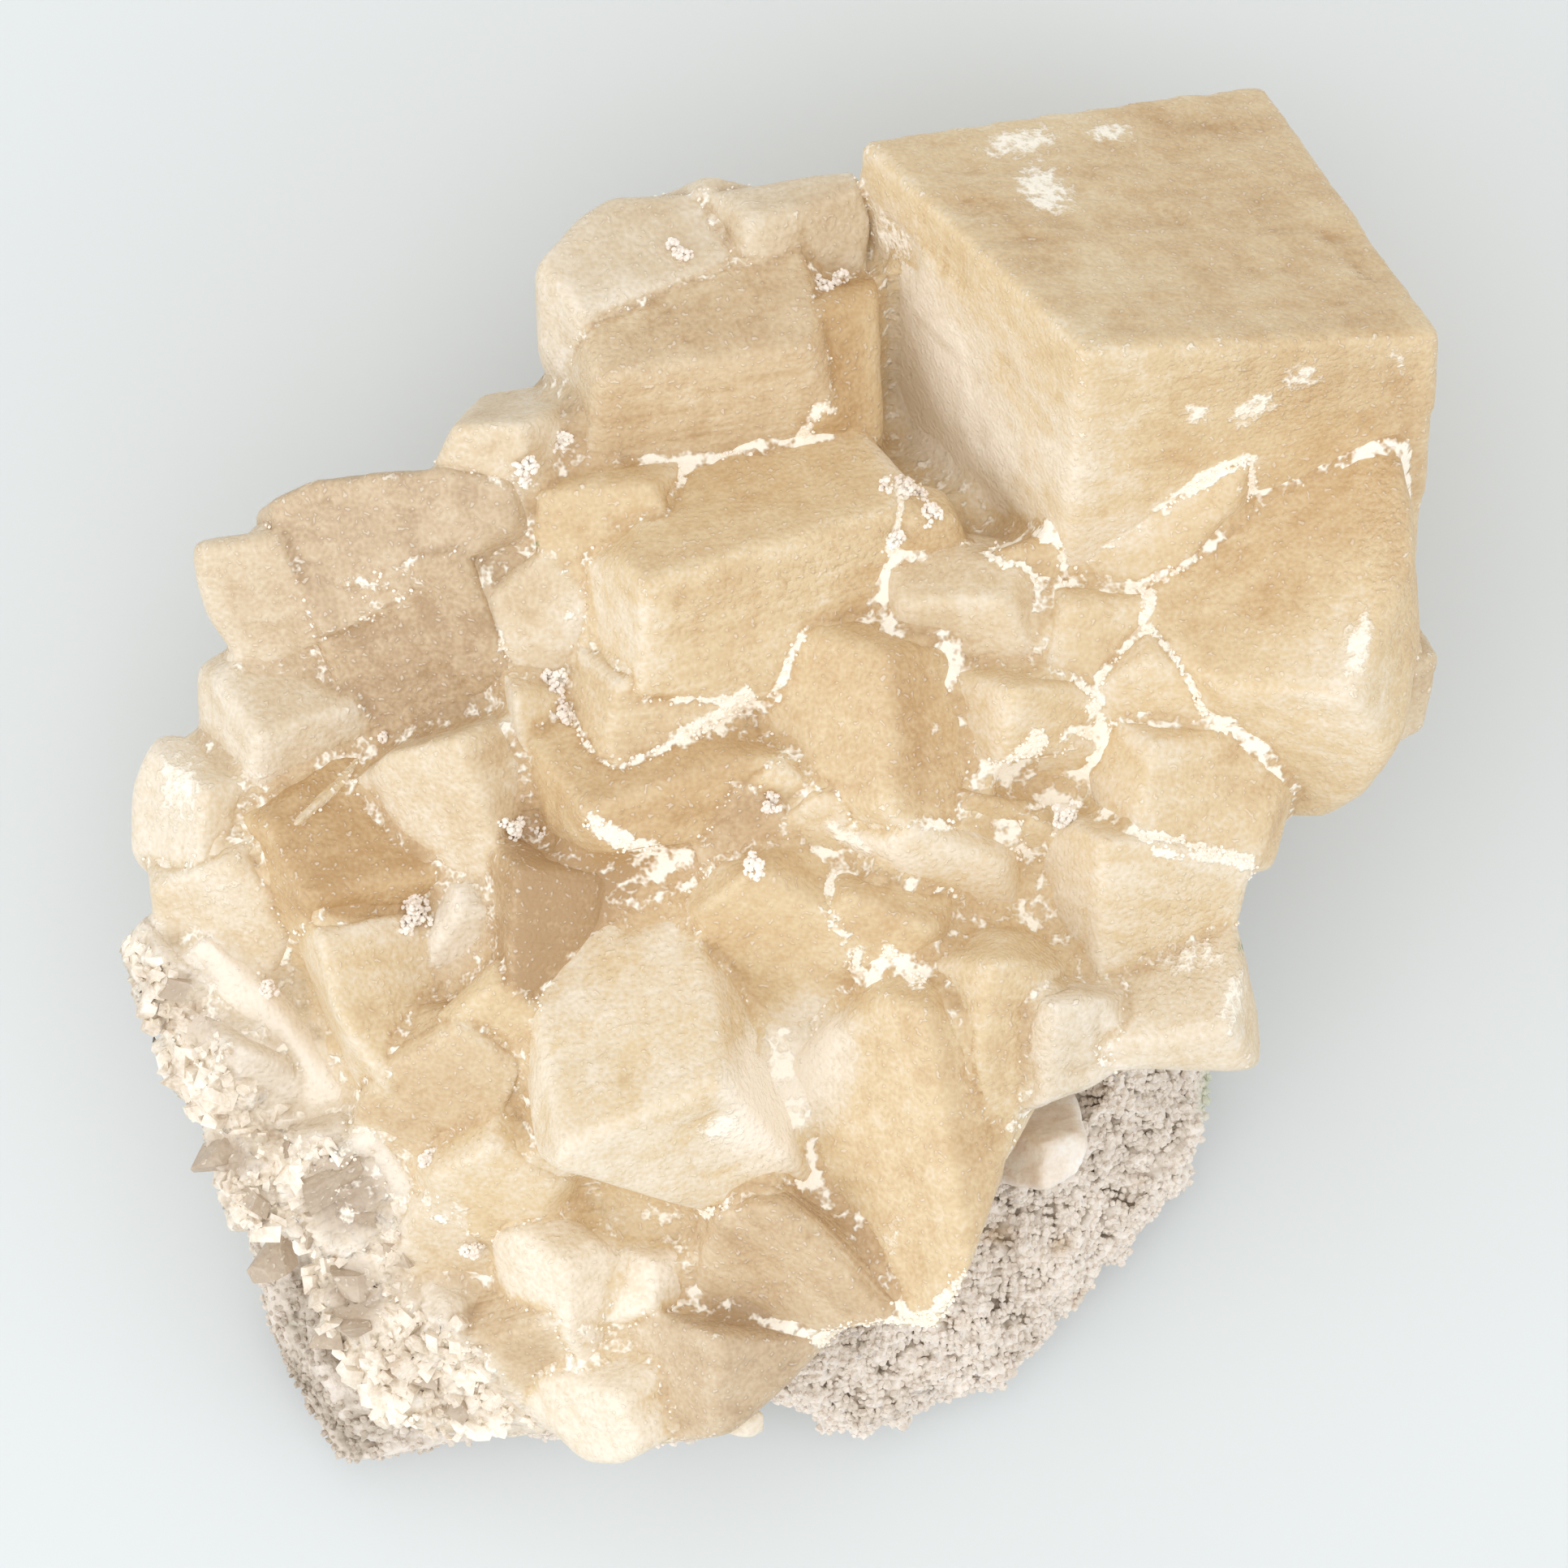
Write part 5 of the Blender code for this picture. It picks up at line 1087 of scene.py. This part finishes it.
def scatter(name, shapes, places, sizes, seed):    # many turned copies as one piece
    chance = np.random.default_rng(seed)
    count = len(places)
    turn = chance.normal(size=(4, count))
    w, x, y, z = turn / np.linalg.norm(turn, axis=0)
    turns = np.array([[1 - 2 * (y * y + z * z), 2 * (x * y - z * w), 2 * (x * z + y * w)],
                      [2 * (x * y + z * w), 1 - 2 * (x * x + z * z), 2 * (y * z - x * w)],
                      [2 * (x * z - y * w), 2 * (y * z + x * w), 1 - 2 * (x * x + y * y)]]).transpose(2, 0, 1)
    stretch = chance.uniform(0.75, 1.25, (count, 1, 3))
    allVerts, allFaces, used = [], [], 0
    for kind, (verts, faces) in enumerate(shapes):
        mine = np.arange(kind, count, len(shapes))
        made = np.einsum("nij,nvj->nvi", turns[mine], verts[None] * stretch[mine])
        allVerts.append((made * sizes[mine, None, None] * mm + places[mine, None]).reshape(-1, 3))
        for _ in mine:
            allFaces += [[index + used for index in face] for face in faces]
            used += len(verts)
    mesh = bpy.data.meshes.new(name)
    mesh.from_pydata(np.concatenate(allVerts).tolist(), [], allFaces)
    piece = bpy.data.objects.new(name, mesh)
    work.objects.link(piece)
    tell(piece, f"{count} copies")
    return piece


def buildCrust():    # the raised white grains along the seams
    chance = np.random.default_rng(31)
    spots = np.concatenate(crustPlaces)
    weight = np.clip((spots[:, 3] - crustForm["least"]) / 0.5, 0, 1) ** 1.5
    spots = spots[chance.random(len(spots)) < weight * grainForm["crustShare"]]
    places = spots[:, :3] + chance.normal(0, 0.16, (len(spots), 3)) * mm
    sizes = chance.uniform(*grainForm["crustSize"], len(spots)) * (0.6 + 0.5 * spots[:, 3])
    return scatter("whiteCrust", [modelGrain("crustGrain", 4)], places, sizes, 32)


def groundBelow(grown, x, y):    # the highest point of the crystals there, if any
    return grown["tree"].ray_cast(Vector((x, y, 0.2)), Vector((0, 0, -1)))[0]


def buildTufts(grown):    # grey white druse in the gaps, heaped on whatever lies below
    chance = np.random.default_rng(41)
    places = []
    for x, y, radius in druseTufts:
        ground = groundBelow(grown, x * mm, y * mm)
        if ground is None:
            continue
        lumps = chance.normal(0, 0.5, (7, 3)) * radius * mm
        for _ in range(int(grainForm["tuftCount"] * radius ** 2)):
            way = Vector(chance.normal(size=3)).normalized() * 0.45 * radius * mm + Vector(lumps[chance.integers(7)])
            places.append((ground.x + way.x, ground.y + way.y, ground.z + abs(way.z)))
    places = np.array(places)
    sizes = chance.uniform(*grainForm["tuftSize"], len(places))
    return scatter("druseTufts", [modelGrain("tuftGrain", 6)], places, sizes, 42)


def buildDruse(rock, roots):    # grains on the rock wherever it is open to the air
    chance = np.random.default_rng(51)
    mesh = rock.data
    areas = readValues(mesh.polygons, "area")
    centres = readVectors(mesh.polygons, "center")
    normals = readVectors(mesh.polygons, "normal")
    x, y, z = (centres / mm).T
    base, more = grainForm["druseShares"]
    wanted = areas * (base + more * (x > -12) * (y < -10))
    wanted = wanted * (normals[:, 2] > grainForm["druseSlope"]) * (z > grainForm["druseFrom"])
    picked = chance.choice(len(areas), grainForm["druseCount"] * 4, p=wanted / wanted.sum())
    cover = BVHTree.FromPolygons([vert.co for vert in roots.data.vertices], cornersOf(roots.data))
    free = [number for number in picked.tolist()
            if cover.ray_cast(Vector(centres[number] + normals[number] * 0.3 * mm), Vector((0, 0, 1)))[0] is None]
    free = np.array(free[:grainForm["druseCount"]])
    places = centres[free] + normals[free] * chance.uniform(-0.05, 0.25, (len(free), 1)) * mm
    places[:, 2] = np.maximum(places[:, 2], grainForm["druseLowest"] * mm)
    sizes = chance.uniform(*grainForm["druseSize"], len(free))
    piece = scatter("rockDruse", [modelGrain("druseGrain", 8)], places, sizes, 52)
    markStains(piece)
    return piece


def buildShards(grown):    # splinters all over the calcite that broke off at the lower left
    chance = np.random.default_rng(61)
    line = np.array(brokenLine)
    tries = chance.uniform(line.min(0), line.max(0), (grainForm["shardCount"] * 5, 2)) * mm
    tries = np.concatenate([tries, np.zeros((len(tries), 1))], 1)
    tries = tries[(brokenMask(tries) > 0.5) & (spotMask(tries, smokySpots) < 0.5)]
    least, most = grainForm["shardSize"]
    sizes = least + (most - least) * chance.random(len(tries)) ** 2.2    # mostly small
    places, kept = [], []
    for number, (x, y, _) in enumerate(tries.tolist()):
        ground = groundBelow(grown, x, y)
        if ground is not None and ground.z > grainForm["shardFrom"] * mm and len(kept) < grainForm["shardCount"]:
            places.append((x, y, ground.z - grainForm["shardSunk"] * sizes[number] * mm))
            kept.append(number)
    places, sizes = np.array(places), sizes[kept]
    shapes = [modelSplinter("splinter", seed) for seed in range(70, 76)]
    return scatter("brokenShards", shapes, places, sizes, 62)


def buildRemnants(grown):    # what is left of the smoky crystals that broke through
    places, sizes = [], []
    for x, y, size in smokyRemnants:
        ground = groundBelow(grown, x * mm, y * mm)
        height = ground.z if ground else 22 * mm
        places.append((x * mm, y * mm, height - grainForm["remnantSunk"] * size * mm))
        sizes.append(size)
    shapes = [modelSplinter("remnant", seed) for seed in range(80, 84)]
    piece = scatter("smokyRemnants", shapes, np.array(places), np.array(sizes), 72)
    for name, value in grainForm["remnantLayers"].items():
        writeLayer(piece.data, name, np.full(len(piece.data.vertices), value))
    return piece


def srgb(text):    # a hex colour, turned linear
    parts = [int(text[i:i + 2], 16) / 255 for i in (1, 3, 5)]
    return (*[part / 12.92 if part <= 0.04045 else ((part + 0.055) / 1.055) ** 2.4 for part in parts], 1.0)


def addNode(tree, kind, settings=None, links=None, output=0):    # one node with its settings and links
    node = tree.nodes.new("ShaderNode" + kind)
    for key, value in (settings or {}).items():
        if key == "stops":    # of a ramp: place and colour, or place and grey
            while len(node.color_ramp.elements) < len(value):
                node.color_ramp.elements.new(0.5)
            for point, (place, tone) in zip(node.color_ramp.elements, value):
                point.position = place
                point.color = srgb(tone) if isinstance(tone, str) else (tone, tone, tone, 1)
        elif isinstance(key, int) or key in node.inputs:
            node.inputs[key].default_value = value
        else:
            setattr(node, key, value)
    for key, source in (links or {}).items():
        tree.links.new(source, node.inputs[key])
    return node.outputs[output]


def setShader(tree, shader, links, values):
    for name, source in links.items():
        tree.links.new(source, shader.inputs[name])
    for name, value in values.items():
        shader.inputs[name].default_value = value


def newMaterial(name):
    material = bpy.data.materials.new(name)
    material.use_nodes = True
    return material, material.node_tree, material.node_tree.nodes["Principled BSDF"]


calciteLook = {
    "honey": [(0.0, "#F4E9D8"), (0.25, "#E6D8C1"), (0.5, "#DBC49D"), (0.75, "#CDAF84"), (1.0, "#B99566")],
    "grey": [(0.0, "#F1E8DC"), (0.4, "#DACDBA"), (0.75, "#C3AF95"), (1.0, "#A69077")],
    "sugar": [(0.3, "#C6B49D"), (0.5, "#EADECC"), (0.7, "#FAF3E9")],    # where it is broken
    "smoke": "#B19C86",
    "white": "#FFF8EA",
    "copper": "#3F7A56",
    # how much each noise, and each mark of the surface, deepens the honey: edge is a painted highlight on the ridges,
    # hollow painted shade in the hollows and seams, rim a painted glow along the seams
    "noises": {"clouds": 0.25, "mottle": 0.32, "veils": 0.36, "sparkle": 0.25, "widePlanes": 0.08, "finePlanes": 0.08},
    "marks": {"stripes": 0.4, "edge": -0.05, "hollow": 0.3, "rim": -0.14},
    "planes": ((7.0, 9.0, 6.0), (2.6, 5.2, 1.9)),    # mm between cleavage planes that show inside
    # what lies over the honey: its mark, how far the noise frays it, less, and the ramp from bare to covered
    "covers": {"smoky": ("smoky", 1.2, 0.0, [(0.35, 0.0), (0.9, 0.85)]),
               "crust": ("crust", 1.9, 0.0, [(0.5, 0.0), (0.75, 1.0)]),
               "chalk": ("chalk", 1.9, 0.0, [(0.42, 0.0), (0.85, 0.9)]),
               "chips": ("edge", 3.0, 0.75, [(0.5, 0.0), (0.8, 0.6)])},
    "specks": [(0.7, 0.0), (0.78, 0.36)],
    "stain": [(0.3, 0.0), (0.5, 0.85)],
    "relief": {"mottle": 0.5, "sparkle": 0.3, "ripples": 1.6, "stripes": 1.2},
    "bump": {"Strength": 0.7, "Distance": 0.0003},
    "ior": 1.58,
}


def addShares(tree, total, sources, shares):    # each source times its share, on top of a total
    for name, share in shares.items():
        total = addNode(tree, "Math", {"operation": "MULTIPLY_ADD", 1: share}, {0: sources[name], 2: total})
    return total


def honeyCalcite():    # calcite grown as rhombs: satin, milky with veils inside, with white worn chips and a painted highlight along the edges, painted shade in the hollows and a painted glow along the seams
    material, tree, shader = newMaterial("honeyCalcite")
    found = {name: addNode(tree, "Attribute", {"attribute_name": name}, output="Fac")
             for name in ("tint", "grey", "stripe", "edge", "hollow", "crust", "chalk", "broken", "smoky", "rim",
                          "ripple", "green")}
    grain = addNode(tree, "Attribute", {"attribute_name": "grain"}, output="Vector")
    place = addNode(tree, "TexCoord", output="Object")
    for name, size, detail, harsh in (("clouds", 8, 1, 0.5), ("mottle", 0.9, 2, 0.7), ("ragged", 1.5, 2, 0.75),
                                      ("sparkle", 0.45, 0, 0.6)):    # sizes in mm
        found[name] = addNode(tree, "TexNoise", {"Scale": 1000 / size, "Detail": detail, "Roughness": harsh},
                              {"Vector": place})
    lengths = addNode(tree, "Mapping", {"Scale": (0.16, 0.3, 0.42)}, {"Vector": grain})
    found["veils"] = addNode(tree, "TexNoise", {"Scale": 1.0, "Detail": 1.0},
                             {"Vector": lengths})    # clouded planes inside, along the crystal's own edges
    lines = addNode(tree, "Mapping", {"Scale": (0.05, 0.05, 1.3)}, {"Vector": grain})
    steps = addNode(tree, "TexNoise", {"Scale": 1.0, "Detail": 1.0, "Roughness": 0.6},
                    {"Vector": lines})    # growth steps under a mm apart
    steps = addNode(tree, "Math", {"operation": "SUBTRACT", 1: 0.5}, {0: steps})
    strong = addNode(tree, "Math", {"operation": "ADD", 1: 0.15}, {0: found["stripe"]})
    found["stripes"] = addNode(tree, "Math", {"operation": "MULTIPLY"}, {0: steps, 1: strong})
    bent = addNode(tree, "VectorMath", {"operation": "MULTIPLY_ADD", 1: (1.0, 0.8, 0.9)},
                   {0: found["mottle"], 2: grain})
    for name, apart in zip(("widePlanes", "finePlanes"), calciteLook["planes"]):
        block = addNode(tree, "VectorMath", {"operation": "SNAP", 1: apart}, {0: bent})
        found[name] = addNode(tree, "TexWhiteNoise", None, {"Vector": block}, output="Value")

    middle = 0.5 * sum(calciteLook["noises"].values())
    tone = addNode(tree, "Math", {"operation": "SUBTRACT", 1: middle}, {0: found["tint"]})
    # the painted highlight on the edges, painted shade in the hollows and painted glow along the seams go into the
    # tone here
    tone = addShares(tree, tone, found, {**calciteLook["noises"], **calciteLook["marks"]})
    honey = addNode(tree, "ValToRGB", {"stops": calciteLook["honey"]}, {"Fac": tone})
    grey = addNode(tree, "ValToRGB", {"stops": calciteLook["grey"]}, {"Fac": tone})
    sugar = addNode(tree, "ValToRGB", {"stops": calciteLook["sugar"]}, {"Fac": found["ragged"]})
    body = addNode(tree, "Mix", {"data_type": "RGBA"}, {0: found["grey"], 6: honey, 7: grey}, output=2)
    body = addNode(tree, "Mix", {"data_type": "RGBA"}, {0: found["broken"], 6: body, 7: sugar}, output=2)

    covers = {}
    for name, (mark, amount, less, stops) in calciteLook["covers"].items():
        raised = addNode(tree, "Math", {"operation": "SUBTRACT", 1: 0.5 * amount + less}, {0: found[mark]})
        frayed = found["ragged" if name in ("crust", "smoky") else "mottle"]
        raised = addNode(tree, "Math", {"operation": "MULTIPLY_ADD", 1: amount}, {0: frayed, 2: raised})
        covers[name] = addNode(tree, "ValToRGB", {"stops": stops}, {"Fac": raised})
    covers["specks"] = addNode(tree, "ValToRGB", {"stops": calciteLook["specks"]}, {"Fac": found["sparkle"]})
    white = covers["crust"]
    for name in ("chalk", "specks", "chips"):
        white = addNode(tree, "Math", {"operation": "MAXIMUM"}, {0: white, 1: covers[name]})
    copper = addNode(tree, "Math", {"operation": "MULTIPLY"}, {0: found["green"], 1: found["mottle"]})
    copper = addNode(tree, "ValToRGB", {"stops": calciteLook["stain"]}, {"Fac": copper})
    for name, cover in (("smoke", covers["smoky"]), ("white", white), ("copper", copper)):
        body = addNode(tree, "Mix", {"data_type": "RGBA", 7: srgb(calciteLook[name])}, {0: cover, 6: body}, output=2)

    rough = addNode(tree, "Math", {"operation": "MULTIPLY_ADD", 1: 0.3, 2: 0.3}, {0: found["sparkle"]})
    rough = addNode(tree, "Math", {"operation": "MULTIPLY_ADD", 1: 0.35}, {0: white, 2: rough})
    height = addNode(tree, "Math", {"operation": "MULTIPLY"}, {0: white, 1: found["ragged"]})
    found["ripples"] = addNode(tree, "Math", {"operation": "MULTIPLY"}, {0: found["ripple"], 1: found["mottle"]})
    height = addShares(tree, height, found, calciteLook["relief"])
    bump = addNode(tree, "Bump", calciteLook["bump"], {"Height": height})
    setShader(tree, shader, {"Base Color": body, "Roughness": rough, "Normal": bump},
              {"IOR": calciteLook["ior"]})
    return material


sugarLooks = {    # size of the patches in mm, their colours, and light inside where it shows
    "whiteCrust": (5.0, [(0.3, "#FFF3E2"), (0.6, "#FFFAF0")], {}),
    "druseTufts": (3.0, [(0.3, "#F2E7DC"), (0.65, "#FFF9F1")], {}),
    "paleCrystal": (3.0, [(0.3, "#E8DACA"), (0.5, "#F4EADF"), (0.7, "#FFFAF4")],
                    {"Subsurface Weight": 0.5, "Subsurface Radius": (1.0, 0.95, 0.85),
                     "Subsurface Scale": 1.2 * mm}),
    "brokenShards": (4.0, [(0.3, "#CDBBA5"), (0.45, "#EBDFCE"), (0.65, "#FFF8EC")], {}),
}


def sugarCalcite(name, patch, stops, inside):    # a crust of fine calcite grains: white to grey, sparkling a little
    material, tree, shader = newMaterial(name)
    place = addNode(tree, "TexCoord", output="Object")
    patches = addNode(tree, "TexNoise", {"Scale": 1000 / patch, "Detail": 3.0}, {"Vector": place})
    facets = addNode(tree, "TexNoise", {"Scale": 1000 / 0.4, "Detail": 2.0}, {"Vector": place})
    tone = addNode(tree, "Math", {"operation": "MULTIPLY_ADD", 1: 0.35, 2: -0.175}, {0: facets})
    tone = addNode(tree, "Math", {"operation": "ADD"}, {0: tone, 1: patches})
    body = addNode(tree, "ValToRGB", {"stops": stops}, {"Fac": tone})
    rough = addNode(tree, "Math", {"operation": "MULTIPLY_ADD", 1: 0.4, 2: 0.35}, {0: facets})
    bump = addNode(tree, "Bump", {"Strength": 0.6, "Distance": 0.00015}, {"Height": facets})
    setShader(tree, shader, {"Base Color": body, "Roughness": rough, "Normal": bump},
              {"IOR": calciteLook["ior"], **inside})
    return material


rockLook = {
    "stone": [(0.04, "#7D6E60"), (0.24, "#B7A998"), (0.5, "#DFD4C8"), (0.8, "#F6EEE5")],
    "ochre": "#C8A878",
    "green": "#AEBFA0",
    "stain": [(0.15, 0.0), (0.55, 0.6)],
    "shares": {"grains": 0.6, "hollow": -0.55, "edge": 0.22, "dull": -0.32},    # how much each lightens the stone; the hollow's share is painted shade in the pits
}


def greyRock():    # a porous rock, crusted grain by grain: matt, with painted shade in its pits, stained in spots
    material, tree, shader = newMaterial("greyRock")
    found = {name: addNode(tree, "Attribute", {"attribute_name": name}, output="Fac")
             for name in ("edge", "hollow", "ochre", "green", "dull")}
    place = addNode(tree, "TexCoord", output="Object")
    for name, size, detail in (("patches", 9, 4), ("grains", 1.0, 3), ("fine", 0.4, 2)):    # sizes in mm
        found[name] = addNode(tree, "TexNoise", {"Scale": 1000 / size, "Detail": detail}, {"Vector": place})
    shade = addNode(tree, "Math", {"operation": "MULTIPLY", 1: 0.7}, {0: found["patches"]})
    shade = addShares(tree, shade, found, rockLook["shares"])
    body = addNode(tree, "ValToRGB", {"stops": rockLook["stone"]}, {"Fac": shade})
    for name in ("ochre", "green"):
        stain = addNode(tree, "Math", {"operation": "MULTIPLY"}, {0: found[name], 1: found["grains"]})
        stain = addNode(tree, "ValToRGB", {"stops": rockLook["stain"]}, {"Fac": stain})
        body = addNode(tree, "Mix", {"data_type": "RGBA", 7: srgb(rockLook[name])}, {0: stain, 6: body}, output=2)
    rough = addNode(tree, "Math", {"operation": "MULTIPLY_ADD", 1: 0.3, 2: 0.62}, {0: found["fine"]})
    height = addNode(tree, "Math", {"operation": "MULTIPLY_ADD", 1: 0.5}, {0: found["fine"], 2: found["grains"]})
    bump = addNode(tree, "Bump", {"Strength": 0.8, "Distance": 0.0004}, {"Height": height})
    setShader(tree, shader, {"Base Color": body, "Roughness": rough, "Normal": bump}, {})
    return material


stageForm = {
    "floor": "#D9DEE0", "sky": "#F7F7F6",
    "lights": [("keyLight", (-1.1, -0.6, 0.62), 1.2, 6.0), ("fillLight", (0.9, -0.5, 0.6), 1.0, 1.8),
               ("topLight", (0.0, 0.2, 1.9), 1.4, 6)],    # name, place and size in m, watts
    "lightAim": (0, 0, 0.03),
    "lens": 800.0, "sensor": 36.0,         # mm, so long that the photo has next to no perspective
    "frameWidth": 145.0, "aim": 47.0,      # mm that fill the picture at this height
}


def buildStage():
    bpy.ops.mesh.primitive_plane_add(size=6, location=(0, 0, 0))
    floor = settle("paleFloor")
    material, tree, shader = newMaterial("palePaper")    # matt studio paper
    place = addNode(tree, "TexCoord", output="Object")
    fibre = addNode(tree, "TexNoise", {"Scale": 900.0, "Detail": 2.0}, {"Vector": place})
    bump = addNode(tree, "Bump", {"Strength": 0.05, "Distance": 0.0001}, {"Height": fibre})
    setShader(tree, shader, {"Normal": bump}, {"Base Color": srgb(stageForm["floor"]), "Roughness": 0.9})
    floor.data.materials.append(material)
    for name, spot, size, watts in stageForm["lights"]:
        bpy.ops.object.light_add(type="AREA", location=spot)
        light = bpy.context.object
        light.name = name
        light.data.shape = "SQUARE"
        light.data.size = size
        light.data.energy = watts
        towards = Vector(stageForm["lightAim"]) - Vector(spot)
        light.rotation_euler = towards.to_track_quat("-Z", "Y").to_euler()
    world = bpy.data.worlds.new("studioWorld")
    world.use_nodes = True
    world.node_tree.nodes["Background"].inputs["Color"].default_value = srgb(stageForm["sky"])
    bpy.context.scene.world = world
    away = stageForm["lens"] / stageForm["sensor"] * stageForm["frameWidth"]
    bpy.ops.object.camera_add(location=(0, 0, (stageForm["aim"] + away) * mm), rotation=(0, 0, 0))
    camera = bpy.context.object
    camera.name = "photoCamera"
    camera.data.lens = stageForm["lens"]
    camera.data.sensor_width = stageForm["sensor"]
    camera.data.clip_start = 0.1
    camera.data.clip_end = 20.0
    bpy.context.scene.camera = camera
    bpy.context.scene.view_settings.view_transform = "Standard"


crystals, grown = buildCrystals()
roots, rock, pale = buildRoots(grown), buildRock(), buildPale()
crust, tufts, druse = buildCrust(), buildTufts(grown), buildDruse(rock, roots)
shards, remnants = buildShards(grown), buildRemnants(grown)
calcite, stone = honeyCalcite(), greyRock()
whiteCrust, greyTufts, paleCalcite, frosted = [sugarCalcite(name, *look) for name, look in sugarLooks.items()]
finishes = {    # what stands for each solid, and its slot
    ("honey_calcite", "calcite_cluster"): [*((piece, calcite) for piece in [*crystals, roots, remnants]),
                                           (shards, frosted), (crust, whiteCrust), (tufts, greyTufts)],
    ("grey_rock", "matrix_rock"): [(rock, stone), (druse, stone)],
    ("pale_calcite", "pale_crystal"): [(pale, paleCalcite)],
}
for (slot, node), dressed in finishes.items():
    for piece, material in dressed:
        piece.data.materials.clear()
        piece.data.materials.append(material)
        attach(piece, "root")
        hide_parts(node)
print("materials done")
buildStage()
print("stage done")
